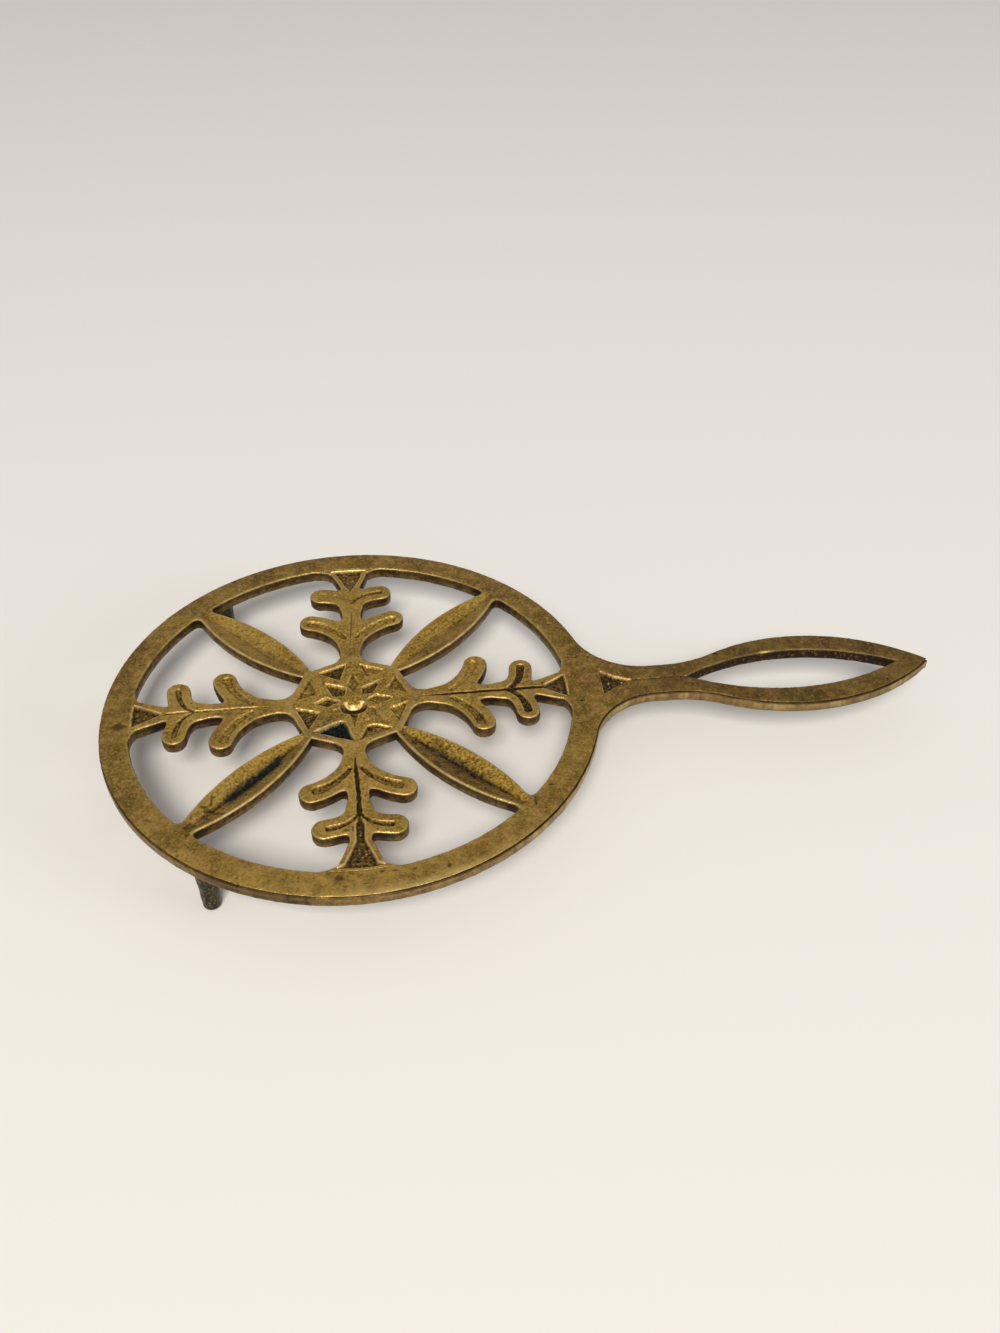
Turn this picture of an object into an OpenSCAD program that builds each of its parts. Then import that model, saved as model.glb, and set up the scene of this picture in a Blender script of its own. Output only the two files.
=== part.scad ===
// A cast brass trivet: a flat ring on three peg feet, four oak-leaf arms and four dished petals
// that meet in a star hub, and a flat handle that ends in a pointed loop.
// The ring, arms, petals, hub and handle are one casting on the real object. They meet face to face
// here, each as a solid of its own. The handle points along +X and the feet stand on z = 0.

/* [Ring] */
// Outer diameter of the ring
ring_d = 140; // [125:1:170]
// Width of the ring's flat band
ring_w = 8; // [7.5:0.1:10]
// Thickness of the whole casting
plate_t = 3.8; // [3.2:0.1:5]
// How far the worn top edge of the ring and the handle stands back from the wall under it
edge_step = 0.4; // [0.2:0.1:0.8]
// Height of the part of the wall that stands back
edge_step_h = 0.9; // [0.5:0.1:1.2]

/* [Feet] */
// Height of a foot, from the table to the underside of the ring
foot_h = 15.4; // [10:0.1:30]
// Diameter of a foot's shank where it leaves the ring
foot_top_d = 5.8; // [5.5:0.1:7]
// Diameter of a foot's shank just above its rounded tip
foot_low_d = 5; // [4.2:0.1:5.4]
// Radius that rounds a foot's tip
foot_tip_r = 1.9; // [0.8:0.1:2]
// Width of the small fillet that blends a foot into the ring
foot_fillet = 0.6; // [0.2:0.1:0.9]
// Turn from the handle to each of the two feet on the far side
foot_turn = 126; // [110:0.5:140]

/* [Handle] */
// Radius of the hollow curve from the ring to the neck
root_r = 20; // [14:0.5:28]
// Length of the neck's straight part
neck_l = 4.8; // [1:0.1:20]
// Width of the neck
neck_w = 12.4; // [10:0.1:16]
// Radius of the hollow curve from the neck to the loop
shoulder_r = 34; // [24:0.5:44]
// Length of the loop's full lens shape
loop_l = 78.2; // [70:0.1:90]
// Width across the loop
loop_w = 29.7; // [27:0.1:34]
// Length of the opening in the loop
loop_gap_l = 62; // [50:0.1:64]
// Width of the opening in the loop
loop_gap_w = 15.8; // [12:0.1:17]
// Solid metal between the opening and the loop's point
loop_tip_l = 10.3; // [8:0.1:16]
// Length of the three-cornered recess at the handle's root
root_recess_l = 9.5; // [7:0.1:11]
// Width of the three-cornered recess at the handle's root
root_recess_w = 9.8; // [7:0.1:12]
// Width of the line cut along the neck
neck_line_w = 0.5; // [0.3:0.1:0.8]

/* [Hub] */
// Distance across the hub's eight corners
hub_d = 37.6; // [35:0.1:41]
// Width of the border bars round the star
border_w = 2.5; // [1.6:0.1:3]
// Length of each three-cornered recess along its border bar
star_recess_w = 8.8; // [6:0.1:9.2]
// Distance from the hub's centre to the inner point of each three-cornered recess
star_notch_r = 10.4; // [10:0.1:11.5]
// Distance from the hub's centre to the outer point of each kite-shaped facet
kite_out_r = 11.7; // [10.5:0.1:12.5]
// Width of each kite-shaped facet
kite_w = 4.2; // [3:0.1:4.4]
// Diameter of the round boss in the middle
boss_d = 6.2; // [5.4:0.1:7.6]
// Width of the moat round the boss
moat_w = 1.1; // [0.5:0.1:1.3]

/* [Leaf arms] */
// Width of an arm's stem
stem_w = 6; // [5:0.1:7]
// Width across the tips of the two large lobes
large_lobe_span = 31.2; // [28:0.1:33]
// Width of a large lobe at its tip
large_lobe_w = 7; // [6:0.1:8]
// Width across the tips of the two small lobes
small_lobe_span = 24.8; // [22:0.1:27]
// Width of a small lobe at its tip
small_lobe_w = 6.9; // [6:0.1:7.6]
// Width of the hollow in a large lobe
large_hollow_w = 3; // [2:0.1:3.6]
// Width of the hollow in a small lobe
small_hollow_w = 2.3; // [1.6:0.1:3]
// Width of an arm's tapered base where it runs into the ring
base_w = 13.6; // [8:0.1:15]
// Radius that flares the arm into the ring
flare_r = 7.3; // [5:0.1:8]
// How much nearer the hub the front arm's lobes sit than those of the other arms
front_lobe_in = 1.5; // [0:0.1:2]
// Radius that blends the arm's neck into the hub
neck_fillet_r = 2.4; // [1:0.1:3]
// Width of the raised edge that frames the recess at the arm's base
frame_w = 1.6; // [1.2:0.1:1.9]
// Width of the vein cut along the stem
vein_w = 0.8; // [0.4:0.1:1]

/* [Petals] */
// Width of a petal at its middle
petal_w = 11.6; // [9:0.1:13]
// Radius of the two arcs that draw a petal
petal_r = 65; // [62:0.5:70]
// Width of a petal's raised edge
petal_edge_w = 1.1; // [0.8:0.1:1.6]
// Radius that blends a petal's outer end into the ring
petal_fillet_r = 2; // [1:0.1:2.4]

/* [Depths] */
// Depth of a petal's hollow at its middle
petal_hollow_t = 2; // [1.4:0.1:2.4]
// Depth of the hollows in the lobes
lobe_hollow_t = 0.8; // [0.4:0.1:1.2]
// Depth of the vein and of the line along the neck
line_t = 0.7; // [0.4:0.1:1]
// Depth of the three-cornered recesses
recess_t = 1.5; // [0.8:0.1:1.8]
// Depth of the kite-shaped facets
kite_t = 1.1; // [0.6:0.1:1.5]
// Depth of the moat round the boss
moat_t = 1.2; // [0.6:0.1:1.6]

/* [Hidden] */

worn_brass = [0.70, 0.58, 0.34];
cast_brass = [0.58, 0.46, 0.22];
dark_brass = [0.34, 0.30, 0.20];

// Overrun of every cut past the face that it opens
cut = 0.5;
// Degrees by which a blend stops short of the place where it would run out to a paper-thin edge
feather = 8;
// Steps along a quarter of a drawn arc, and along a lobe's centre line
arc_steps = 8;
lobe_steps = 7;
round_fn = 96;

ring_r = ring_d / 2;
ring_in_r = ring_r - ring_w;
hub_r = hub_d / 2;
plate_z = foot_h;
foot_place_r = ring_r - ring_w / 2;

// Eight equal sides: half the turn from one corner to the next
octagon_half = 22.5;
hub_flat_r = hub_r * cos(octagon_half);

arm_l = ring_in_r - hub_r;
// Places along an arm, from the hub's corner to the ring
large_root_share = 0.165;
large_bend_share = 0.35;
large_tip_share = 0.40;
small_root_share = 0.57;
small_bend_share = 0.685;
small_tip_share = 0.70;
vein_start_share = 0.11;
recess_start_share = 0.78;
front_recess_start_share = 0.57;
base_start_share = 0.77;
// How far out the bend of a lobe's centre line lies, from the stem to the tip's centre
large_bend_out_share = 0.35;
small_bend_out_share = 0.16;
// Where the hollow of a lobe starts along its centre line
large_hollow_start_share = 0.2;
small_hollow_start_share = 0.10;
// A lobe's hollow is narrower at the stem than at the tip
hollow_taper_share = 0.6;

neck_y = neck_w / 2;
loop_y = loop_w / 2;
loop_r = (pow(loop_l / 2, 2) + pow(loop_y, 2)) / loop_w;
root_x = sqrt(pow(ring_r + root_r, 2) - pow(neck_y + root_r, 2));
shoulder_x = root_x + neck_l;
shoulder_rise = neck_y + shoulder_r - (loop_y - loop_r);
loop_x = shoulder_x + sqrt(pow(shoulder_r + loop_r, 2) - pow(shoulder_rise, 2));
tip_x = loop_x + loop_l / 2;
loop_gap_x = tip_x - loop_tip_l - loop_gap_l / 2;

// The middle of the whole length lies on the origin
ring_x = -(tip_x - ring_r) / 2;

petal_x = (hub_r + ring_in_r) / 2;

// Points of an arc about a centre, from one angle to another
function arc(centre, r, from, to, steps = arc_steps) =
    [for (i = [0:steps]) centre + r * dir(from + (to - from) * i / steps)];
function dir(a) = [cos(a), sin(a)];
function reversed(list) = [for (i = [len(list) - 1:-1:0]) list[i]];

// The closed outline of a shape whose upper side is given, counter-clockwise
function both_sides(upper) = concat([for (p = upper) [p[0], -p[1]]], reversed(upper));

// A curve from a through the pull of b to c, and the direction square to it
function curve(a, b, c, t) = pow(1 - t, 2) * a + 2 * t * (1 - t) * b + t * t * c;
function slope(a, b, c, t) = (1 - t) * (b - a) + t * (c - b);
function square_to(v) = [-v[1], v[0]] / norm(v);

// Outline of a stroke along such a curve, whose width runs from w0 to w1, with a round end
function stroke(a, b, c, w0, w1, start = 0) =
    let (
        ts = [for (i = [0:lobe_steps]) start + (1 - start) * i / lobe_steps],
        side = function (t, s) curve(a, b, c, t)
            + s * square_to(slope(a, b, c, t)) * (w0 + (w1 - w0) * (t - start) / (1 - start)) / 2,
        end_dir = slope(a, b, c, 1),
        end_a = atan2(end_dir[1], end_dir[0])
    )
    concat(
        [for (t = ts) side(t, -1)],
        [for (i = [1:2 * arc_steps - 1]) c + w1 / 2 * dir(end_a - 90 + 180 * i / (2 * arc_steps))],
        [for (t = reversed(ts)) side(t, 1)]
    );

// The pointed oval between two equal arcs
module lens(l, w) {
    r = (pow(l / 2, 2) + pow(w / 2, 2)) / w;
    half = asin(l / 2 / r);
    polygon(both_sides(arc([0, w / 2 - r], r, 90 + half, 90 - half, 3 * arc_steps)));
}

module on_plate(turn = 0) {
    translate([ring_x, 0, plate_z]) rotate(turn) children();
}

module slab(t = plate_t) {
    linear_extrude(t) children();
}

// A pocket of the given depth in the top face
module pocket(depth) {
    translate([0, 0, plate_t - depth]) linear_extrude(depth + cut) children();
}

// The ring's outer shape, without its hole: a plain wall and the edge that stands back above it
module rim_disc(grow = 0) {
    cylinder(r = ring_r, h = plate_t - edge_step_h, $fn = round_fn);
    translate([0, 0, plate_t - edge_step_h])
        cylinder(r = ring_r - edge_step, h = edge_step_h + grow, $fn = round_fn);
}

module rim() {
    color(worn_brass) on_plate() difference() {
        rim_disc();
        translate([0, 0, -cut]) cylinder(r = ring_in_r, h = plate_t + 2 * cut, $fn = round_fn);
    }
}

// Half of the handle's outline, set in by a distance, from the ring to the point
function handle_half(in) =
    let (
        root_centre = [root_x, neck_y + root_r],
        root_a = atan2(neck_y + root_r, root_x),
        shoulder_centre = [shoulder_x, neck_y + shoulder_r],
        loop_centre = [loop_x, loop_y - loop_r],
        blend_a = atan2(shoulder_rise, shoulder_x - loop_x),
        point_a = asin((loop_r - loop_y) / (loop_r - in))
    )
    concat(
        [(ring_r - in) * dir(root_a)],
        arc(root_centre, root_r + in, root_a + 180, 270),
        arc(shoulder_centre, shoulder_r + in, 270, blend_a + 180),
        arc(loop_centre, loop_r - in, blend_a, point_a, 2 * arc_steps)
    );

module handle_outline(in) {
    polygon(both_sides(concat([[0, neck_y]], handle_half(in))));
}

// The recess at the root has hollow sides that follow the handle's own
module root_recess() {
    base_x = ring_r + edge_step;
    side_r = root_recess_l * 2;
    difference() {
        polygon([
            [base_x, -root_recess_w / 2],
            [base_x + root_recess_l, 0],
            [base_x, root_recess_w / 2]
        ]);
        for (s = [-1, 1]) root_recess_side(base_x, side_r, s);
    }
}

module root_recess_side(base_x, side_r, s) {
    a = [base_x, s * root_recess_w / 2];
    b = [base_x + root_recess_l, 0];
    mid = (a + b) / 2;
    half = norm(b - a) / 2;
    out = s * sqrt(side_r * side_r - half * half);
    translate(mid + out * square_to(b - a)) circle(r = side_r, $fn = round_fn);
}

module handle() {
    color(worn_brass) on_plate() difference() {
        union() {
            slab(plate_t - edge_step_h) handle_outline(0);
            slab() handle_outline(edge_step);
        }
        translate([0, 0, -cut]) slab(plate_t + 2 * cut) translate([loop_gap_x, 0])
            lens(loop_gap_l, loop_gap_w);
        translate([0, 0, -cut]) cylinder(r = ring_r, h = cut + plate_t - edge_step_h, $fn = round_fn);
        rim_disc(cut);
        pocket(recess_t) root_recess();
        pocket(line_t) neck_line();
    }
}

// The line runs from the root's recess to the opening
module neck_line() {
    from = ring_r + edge_step + root_recess_l - neck_line_w;
    to = loop_gap_x - loop_gap_l / 2 + neck_line_w;
    translate([from, -neck_line_w / 2]) square([to - from, neck_line_w]);
}

// The eight three-cornered recesses lie between the star's points and the border
module star_recesses() {
    for (i = [0:7]) rotate(octagon_half * (2 * i + 1)) polygon([
        [star_notch_r, 0],
        [hub_flat_r - border_w, -star_recess_w / 2],
        [hub_flat_r - border_w, star_recess_w / 2]
    ]);
}

// One facet of the star: a kite that slopes down to its middle
module kite_facet() {
    in_r = boss_d / 2 + moat_w / 2;
    wide_r = (kite_out_r + 2 * in_r) / 3;
    polyhedron(
        points = [
            [in_r, 0, cut], [wide_r, -kite_w / 2, cut], [kite_out_r, 0, cut], [wide_r, kite_w / 2, cut],
            [in_r, 0, 0], [wide_r, -kite_w / 2, 0], [kite_out_r, 0, 0], [wide_r, kite_w / 2, 0],
            [wide_r, 0, -kite_t]
        ],
        faces = [
            [3, 2, 1, 0],
            [0, 1, 5, 4], [1, 2, 6, 5], [2, 3, 7, 6], [3, 0, 4, 7],
            [4, 5, 8], [5, 6, 8], [6, 7, 8], [7, 4, 8]
        ]
    );
}

// The boss is a dome whose crown is level with the plate, in a round moat
module boss_moat() {
    moat_r = boss_d / 2 + moat_w;
    dome_r = (pow(boss_d / 2, 2) + moat_t * moat_t) / (2 * moat_t);
    difference() {
        translate([0, 0, plate_t - moat_t]) cylinder(r = moat_r, h = moat_t + cut, $fn = round_fn);
        translate([0, 0, plate_t - dome_r]) sphere(r = dome_r, $fn = round_fn);
    }
}

module hub() {
    color(cast_brass) on_plate() difference() {
        cylinder(r = hub_r, h = plate_t, $fn = 8);
        pocket(recess_t) star_recesses();
        for (i = [0:7]) translate([0, 0, plate_t]) rotate(2 * octagon_half * i) kite_facet();
        boss_moat();
    }
}

// Centre line of a lobe on the side s: from the stem, round its bend, to the tip's centre. It is
// moved in towards the hub by a distance.
function large_lobe(s, in) = lobe_line(
    s, in, large_root_share, large_bend_share, large_tip_share,
    (large_lobe_span - large_lobe_w) / 2, large_bend_out_share
);
function small_lobe(s, in) = lobe_line(
    s, in, small_root_share, small_bend_share, small_tip_share,
    (small_lobe_span - small_lobe_w) / 2, small_bend_out_share
);
function lobe_line(s, in, root, bend, tip, reach, bend_out) = [
    [hub_r - in + arm_l * root, 0],
    [hub_r - in + arm_l * bend, s * reach * bend_out],
    [hub_r - in + arm_l * tip, s * reach]
];

module lobe(line, w) {
    polygon(stroke(line[0], line[1], line[2], w, w));
}

module lobe_hollow(line, w, start) {
    polygon(stroke(line[0], line[1], line[2], w * hollow_taper_share, w, start));
}

// Where the round flare from the stem to the ring has its centre
flare_y = stem_w / 2 + flare_r;
flare_x = sqrt(pow(ring_in_r - flare_r, 2) - flare_y * flare_y);

module flare(side_r, to_r) {
    base_y = flare_y * to_r / (ring_in_r - flare_r) - flare_r * sin(feather);
    difference() {
        intersection() {
            circle(r = to_r, $fn = round_fn);
            translate([flare_x, -base_y]) square([to_r - flare_x, 2 * base_y]);
        }
        for (s = [-1, 1]) translate([flare_x, s * flare_y]) circle(r = side_r, $fn = round_fn);
    }
}

// The stem runs into the ring and blends into the hub's two slanted sides
module stem() {
    along_side = (stem_w / 2 + neck_fillet_r - (hub_flat_r + neck_fillet_r) * sin(octagon_half))
        / cos(octagon_half);
    centre = (hub_flat_r + neck_fillet_r) * dir(octagon_half) + along_side * dir(90 + octagon_half);
    polygon(both_sides(concat(
        [[hub_r - stem_w, stem_w / 2]],
        arc(centre, neck_fillet_r, 180 + octagon_half, 270),
        [[ring_r, stem_w / 2]]
    )));
}

// The stem tapers out towards the ring
module base_taper() {
    polygon(both_sides([[hub_r + arm_l * base_start_share, stem_w / 2], [ring_in_r, base_w / 2]]));
}

module leaf_arm_outline(in) {
    stem();
    flare(flare_r, ring_in_r + ring_w / 2);
    base_taper();
    for (s = [-1, 1]) {
        lobe(large_lobe(s, in), large_lobe_w);
        lobe(small_lobe(s, in), small_lobe_w);
    }
}

module base_recess(start_share) {
    start_x = hub_r + arm_l * start_share;
    start_w = stem_w - 2 * frame_w;
    flare(flare_r + frame_w, ring_in_r - edge_step);
    polygon([
        [start_x, -vein_w / 2],
        [flare_x + cut, -start_w / 2],
        [flare_x + cut, start_w / 2],
        [start_x, vein_w / 2]
    ]);
}

module vein(end_share) {
    from = hub_r + arm_l * vein_start_share;
    to = hub_r + arm_l * end_share;
    mid = (from + to) / 2;
    polygon([[from, 0], [mid, -vein_w / 2], [to, -vein_w / 2], [to, vein_w / 2], [mid, vein_w / 2]]);
}

module leaf_arm(turn, in = 0, recess_share = recess_start_share) {
    color(cast_brass) on_plate(turn) difference() {
        intersection() {
            slab() leaf_arm_outline(in);
            cylinder(r = ring_in_r, h = plate_t, $fn = round_fn);
        }
        translate([0, 0, -cut]) cylinder(r = hub_r, h = plate_t + 2 * cut, $fn = 8);
        for (s = [-1, 1]) pocket(lobe_hollow_t) {
            lobe_hollow(large_lobe(s, in), large_hollow_w, large_hollow_start_share);
            lobe_hollow(small_lobe(s, in), small_hollow_w, small_hollow_start_share);
        }
        pocket(line_t) vein(recess_share);
        pocket(recess_t) base_recess(recess_share);
    }
}

// How far out from a petal's middle line its two side arcs have their centres
petal_side_y = petal_r - petal_w / 2;

// One side of a petal: its long arc from inside the hub, then the blend into the ring
function petal_half() =
    let (
        side = [petal_x, -petal_side_y],
        blend_r = ring_in_r - petal_fillet_r,
        both_r = petal_r + petal_fillet_r,
        along = (blend_r * blend_r - both_r * both_r + side * side) / (2 * norm(side)),
        up = sqrt(blend_r * blend_r - along * along),
        blend = along * side / norm(side) + up * square_to(side),
        touch = blend - side,
        touch_a = atan2(touch[1], touch[0]),
        ring_a = atan2(blend[1], blend[0]),
        last = blend + petal_fillet_r * dir(ring_a - feather)
    )
    concat(
        arc(side, petal_r, 90 + acos(petal_side_y / petal_r), touch_a, 3 * arc_steps),
        arc(blend, petal_fillet_r, touch_a - 180, ring_a - feather),
        [last * ring_r / ring_in_r]
    );

// The hollow's two sides slope like shallow cones and meet in a crease
module petal_hollow() {
    side_r = petal_r - petal_edge_w;
    half_w = petal_w / 2 - petal_edge_w;
    steep = half_w / petal_hollow_t;
    translate([petal_x, 0, plate_t - petal_hollow_t]) intersection_for(s = [-1, 1])
        translate([0, s * petal_side_y]) cylinder(
            r1 = side_r - half_w,
            r2 = side_r + steep * cut,
            h = petal_hollow_t + cut,
            $fn = round_fn
        );
}

module petal(turn) {
    color(cast_brass) on_plate(turn) difference() {
        intersection() {
            slab() polygon(both_sides(petal_half()));
            cylinder(r = ring_in_r, h = plate_t, $fn = round_fn);
        }
        translate([0, 0, -cut]) cylinder(r = hub_r, h = plate_t + 2 * cut, $fn = 8);
        petal_hollow();
    }
}

module foot(turn) {
    low_r = foot_low_d / 2;
    top_r = foot_top_d / 2;
    color(dark_brass) translate([ring_x, 0]) rotate(turn) translate([foot_place_r, 0])
        rotate_extrude($fn = round_fn) difference() {
            union() {
                polygon([[0, foot_tip_r], [low_r, foot_tip_r], [top_r, foot_h], [0, foot_h]]);
                square([low_r - foot_tip_r, foot_tip_r]);
                translate([low_r - foot_tip_r, foot_tip_r]) intersection() {
                    circle(r = foot_tip_r, $fn = round_fn);
                    translate([0, -foot_tip_r]) square(foot_tip_r);
                }
                translate([0, foot_h - foot_fillet]) square([top_r + foot_fillet, foot_fillet]);
            }
            translate([top_r + foot_fillet, foot_h - foot_fillet]) circle(r = foot_fillet, $fn = round_fn);
        }
}

module leaf_arm_right() { leaf_arm(0); }
module leaf_arm_back() { leaf_arm(90); }
module leaf_arm_left() { leaf_arm(180); }
module leaf_arm_front() { leaf_arm(270, front_lobe_in, front_recess_start_share); }
module petal_back_right() { petal(45); }
module petal_back_left() { petal(135); }
module petal_front_left() { petal(225); }
module petal_front_right() { petal(315); }
module foot_right() { foot(0); }
module foot_back_left() { foot(foot_turn); }
module foot_front_left() { foot(-foot_turn); }

rim();
handle();
hub();
leaf_arm_right();
leaf_arm_back();
leaf_arm_left();
leaf_arm_front();
petal_back_right();
petal_back_left();
petal_front_left();
petal_front_right();
foot_right();
foot_back_left();
foot_front_left();
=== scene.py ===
"""A footed trivet of cast brass: an openwork ring round a star hub, and a flat handle with a loop."""
import math

import bpy
import numpy as np
from mathutils import Matrix, Vector


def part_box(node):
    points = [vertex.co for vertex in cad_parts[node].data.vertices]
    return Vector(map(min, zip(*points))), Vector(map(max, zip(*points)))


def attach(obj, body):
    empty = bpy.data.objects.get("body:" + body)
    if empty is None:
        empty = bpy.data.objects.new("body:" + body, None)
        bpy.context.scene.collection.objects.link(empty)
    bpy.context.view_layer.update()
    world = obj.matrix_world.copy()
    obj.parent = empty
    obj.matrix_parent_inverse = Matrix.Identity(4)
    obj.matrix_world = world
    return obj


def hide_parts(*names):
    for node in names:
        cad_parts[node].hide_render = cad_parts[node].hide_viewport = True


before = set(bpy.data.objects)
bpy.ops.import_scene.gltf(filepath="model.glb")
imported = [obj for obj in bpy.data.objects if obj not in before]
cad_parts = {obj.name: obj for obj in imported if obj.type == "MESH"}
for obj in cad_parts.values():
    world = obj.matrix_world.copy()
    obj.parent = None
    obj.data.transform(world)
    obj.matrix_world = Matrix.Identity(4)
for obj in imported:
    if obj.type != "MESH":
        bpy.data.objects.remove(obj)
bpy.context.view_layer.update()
scene = bpy.context.scene

# The pattern. Ring, handle, hub, arms and petals came out of one sand mould as one brass casting. This
# is its outline: how far a point lies outside each part, in millimetres from the ring's centre.
MM = 0.001
EIGHTH, QUARTER = math.pi / 4, math.pi / 2
ring_low, ring_high = (np.array(corner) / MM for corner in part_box("rim"))
ring_x = (ring_low[0] + ring_high[0]) / 2
plate_top = ring_high[2]
plate_t = ring_high[2] - ring_low[2]
ring_r = (ring_high[0] - ring_low[0]) / 2
# Ring
RING_W = 8
ring_in_r = ring_r - RING_W
# Handle: two hollow curves at the root, an even neck, hollow shoulders and a loop of two arcs
ROOT_R, SHOULDER_R = 20, 34
NECK_W, NECK_L = 12.4, 4.8
LOOP_L, LOOP_W = 78.2, 29.7
GAP_L, GAP_W, POINT_L = 62, 15.8, 10.3
neck_y, loop_y = NECK_W / 2, LOOP_W / 2
loop_arc_r = ((LOOP_L / 2) ** 2 + loop_y ** 2) / LOOP_W
root_x = math.sqrt((ring_r + ROOT_R) ** 2 - (neck_y + ROOT_R) ** 2)
shoulder_x = root_x + NECK_L
shoulder_rise = neck_y + SHOULDER_R - loop_y + loop_arc_r
loop_x = shoulder_x + math.sqrt((SHOULDER_R + loop_arc_r) ** 2 - shoulder_rise ** 2)
blend_x = shoulder_x + (loop_x - shoulder_x) * SHOULDER_R / (SHOULDER_R + loop_arc_r)
gap_x = loop_x + LOOP_L / 2 - POINT_L - GAP_L / 2
gap_arc_r = ((GAP_L / 2) ** 2 + (GAP_W / 2) ** 2) / GAP_W
# Hub: eight flat sides
HUB_R = 18.8
hub_flat_r = HUB_R * math.cos(EIGHTH / 2)
# Leaf arms: a stem with a flare, a tapered base and two lobes on either side, each along a curved line
# from its first point, drawn towards the second, to the third
STEM_W, FLARE_R = 5.9, 7.3
BASE_FROM, BASE_W = 52.1, 13.6
LARGE_LINE = ((25.9, 0), (33.9, 4.2), (36.1, 12.2))
SMALL_LINE = ((43.4, 0), (48.3, 1.4), (49, 9.1))
LARGE_R, SMALL_R = 3.45, 3.4
# Right, back, left and front arm: how far each leans aside, and how much nearer the hub its lobes sit.
# The lean grows over one stretch of the stem, and a share of it is lost again over another.
ARM_LEAN = np.array([0, 0.9, 0.2, 0.6])
LOBES_IN = np.array([0, 0, 0, 1.5])
LEAN_GROWS, LEAN_LESSENS, LEAN_LOST = (20, 40), (56, 62), 0.4
flare_y = STEM_W / 2 + FLARE_R
flare_x = math.sqrt((ring_in_r - FLARE_R) ** 2 - flare_y ** 2)
base_slope = (BASE_W - STEM_W) / 2 / (ring_in_r - BASE_FROM)
# Petals: pointed ovals between two arcs
PETAL_W, PETAL_ARC_R = 11.6, 65
petal_x = (HUB_R + ring_in_r) / 2
# Hollow fillets: large and small lobes at the stem, arms at the hub, petals at the ring
LARGE_FILLET, SMALL_FILLET, HUB_FILLET, PETAL_FILLET = 2.6, 2.2, 3.2, 2.8


def blend(a, b, size):
    """The lower of two shapes' distances, less up to a quarter of size where they are nearly equal: a
    hollow fillet fills the corner between the shapes."""
    near = np.maximum(1 - np.abs(a - b) / size, 0)
    return np.minimum(a, b) - near * near * size / 4


def step(v, low, high):
    """0 at low, 1 at high, and an S-shaped rise between them."""
    t = np.clip((v - low) / (high - low), 0, 1)
    return t * t * (3 - 2 * t)


def folded(x, y, first, size=EIGHTH):
    """The point turned back into the sector whose middle line is at the angle first: its place along that
    line and beside it, and the number of its own sector."""
    sector = np.round((np.arctan2(y, x) - first) / size)
    angle = sector * size + first
    along, beside = x * np.cos(angle) + y * np.sin(angle), y * np.cos(angle) - x * np.sin(angle)
    return along, beside, sector.astype(int) % round(2 * math.pi / size)


LATTICE = 256


def rough(x, y, grain, seed):
    """Uneven height from -1 to 1: S-shaped ramps between random values, grain millimetres apart."""
    values = np.random.default_rng(seed).uniform(-1, 1, (LATTICE + 1, LATTICE + 1))
    u, v = x / grain, y / grain
    i, j = np.floor(u).astype(int), np.floor(v).astype(int)
    s, t = step(u - i, 0, 1), step(v - j, 0, 1)
    i, j = i % LATTICE, j % LATTICE
    near_side = values[i, j] * (1 - s) + values[i + 1, j] * s
    far_side = values[i, j + 1] * (1 - s) + values[i + 1, j + 1] * s
    return near_side * (1 - t) + far_side * t


def spotted(x, y, grain, seed, low, high):
    """Share of spots: 0 where the uneven height is under low, 1 where it is over high."""
    return step(rough(x, y, grain, seed), low, high)


def ring_distance(x, y):
    """Distance from the band's middle circle, less half the band's width."""
    return np.abs(np.hypot(x, y) - ring_r + RING_W / 2) - RING_W / 2


def lens_distance(x, y, width, r):
    """Distance from the pointed oval between two arcs of radius r: the larger of those from the circles."""
    return np.hypot(x, np.abs(y) + r - width / 2) - r


def handle_outside(x, y):
    """Along the handle: outside the root's circle, beside the neck, outside the shoulder's circle, and
    inside the loop's arc."""
    up = np.abs(y)
    root = ROOT_R - np.hypot(x - root_x, up - neck_y - ROOT_R)
    root = np.maximum(root, (up * root_x - x * (neck_y + ROOT_R)) / (ring_r + ROOT_R))
    shoulder = SHOULDER_R - np.hypot(x - shoulder_x, up - neck_y - SHOULDER_R)
    loop = np.hypot(x - loop_x, up - loop_y + loop_arc_r) - loop_arc_r
    outer = np.select([x < root_x, x < shoulder_x, x < blend_x], [root, up - neck_y, shoulder], loop)
    return np.maximum(outer, ring_in_r - x)


def handle_distance(x, y):
    """The handle's outline with the loop's gap taken away from it."""
    return np.maximum(handle_outside(x, y), -lens_distance(x - gap_x, y, GAP_W, gap_arc_r))


def hub_distance(x, y):
    """Distance from the nearest of the eight straight sides."""
    return folded(x, y, EIGHTH / 2)[0] - hub_flat_r


def arm_frame(x, y):
    """The point seen from the nearest arm: its place out along the stem, beside it, and the arm's number."""
    along, beside, arm = folded(x, y, 0, QUARTER)
    lean = step(along, *LEAN_GROWS) * ARM_LEAN[arm] * (1 - step(along, *LEAN_LESSENS) * LEAN_LOST)
    beside = beside + np.where((arm == 1) | (arm == 2), lean, -lean)
    return along, beside, arm


STRETCHES = 12


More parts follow.
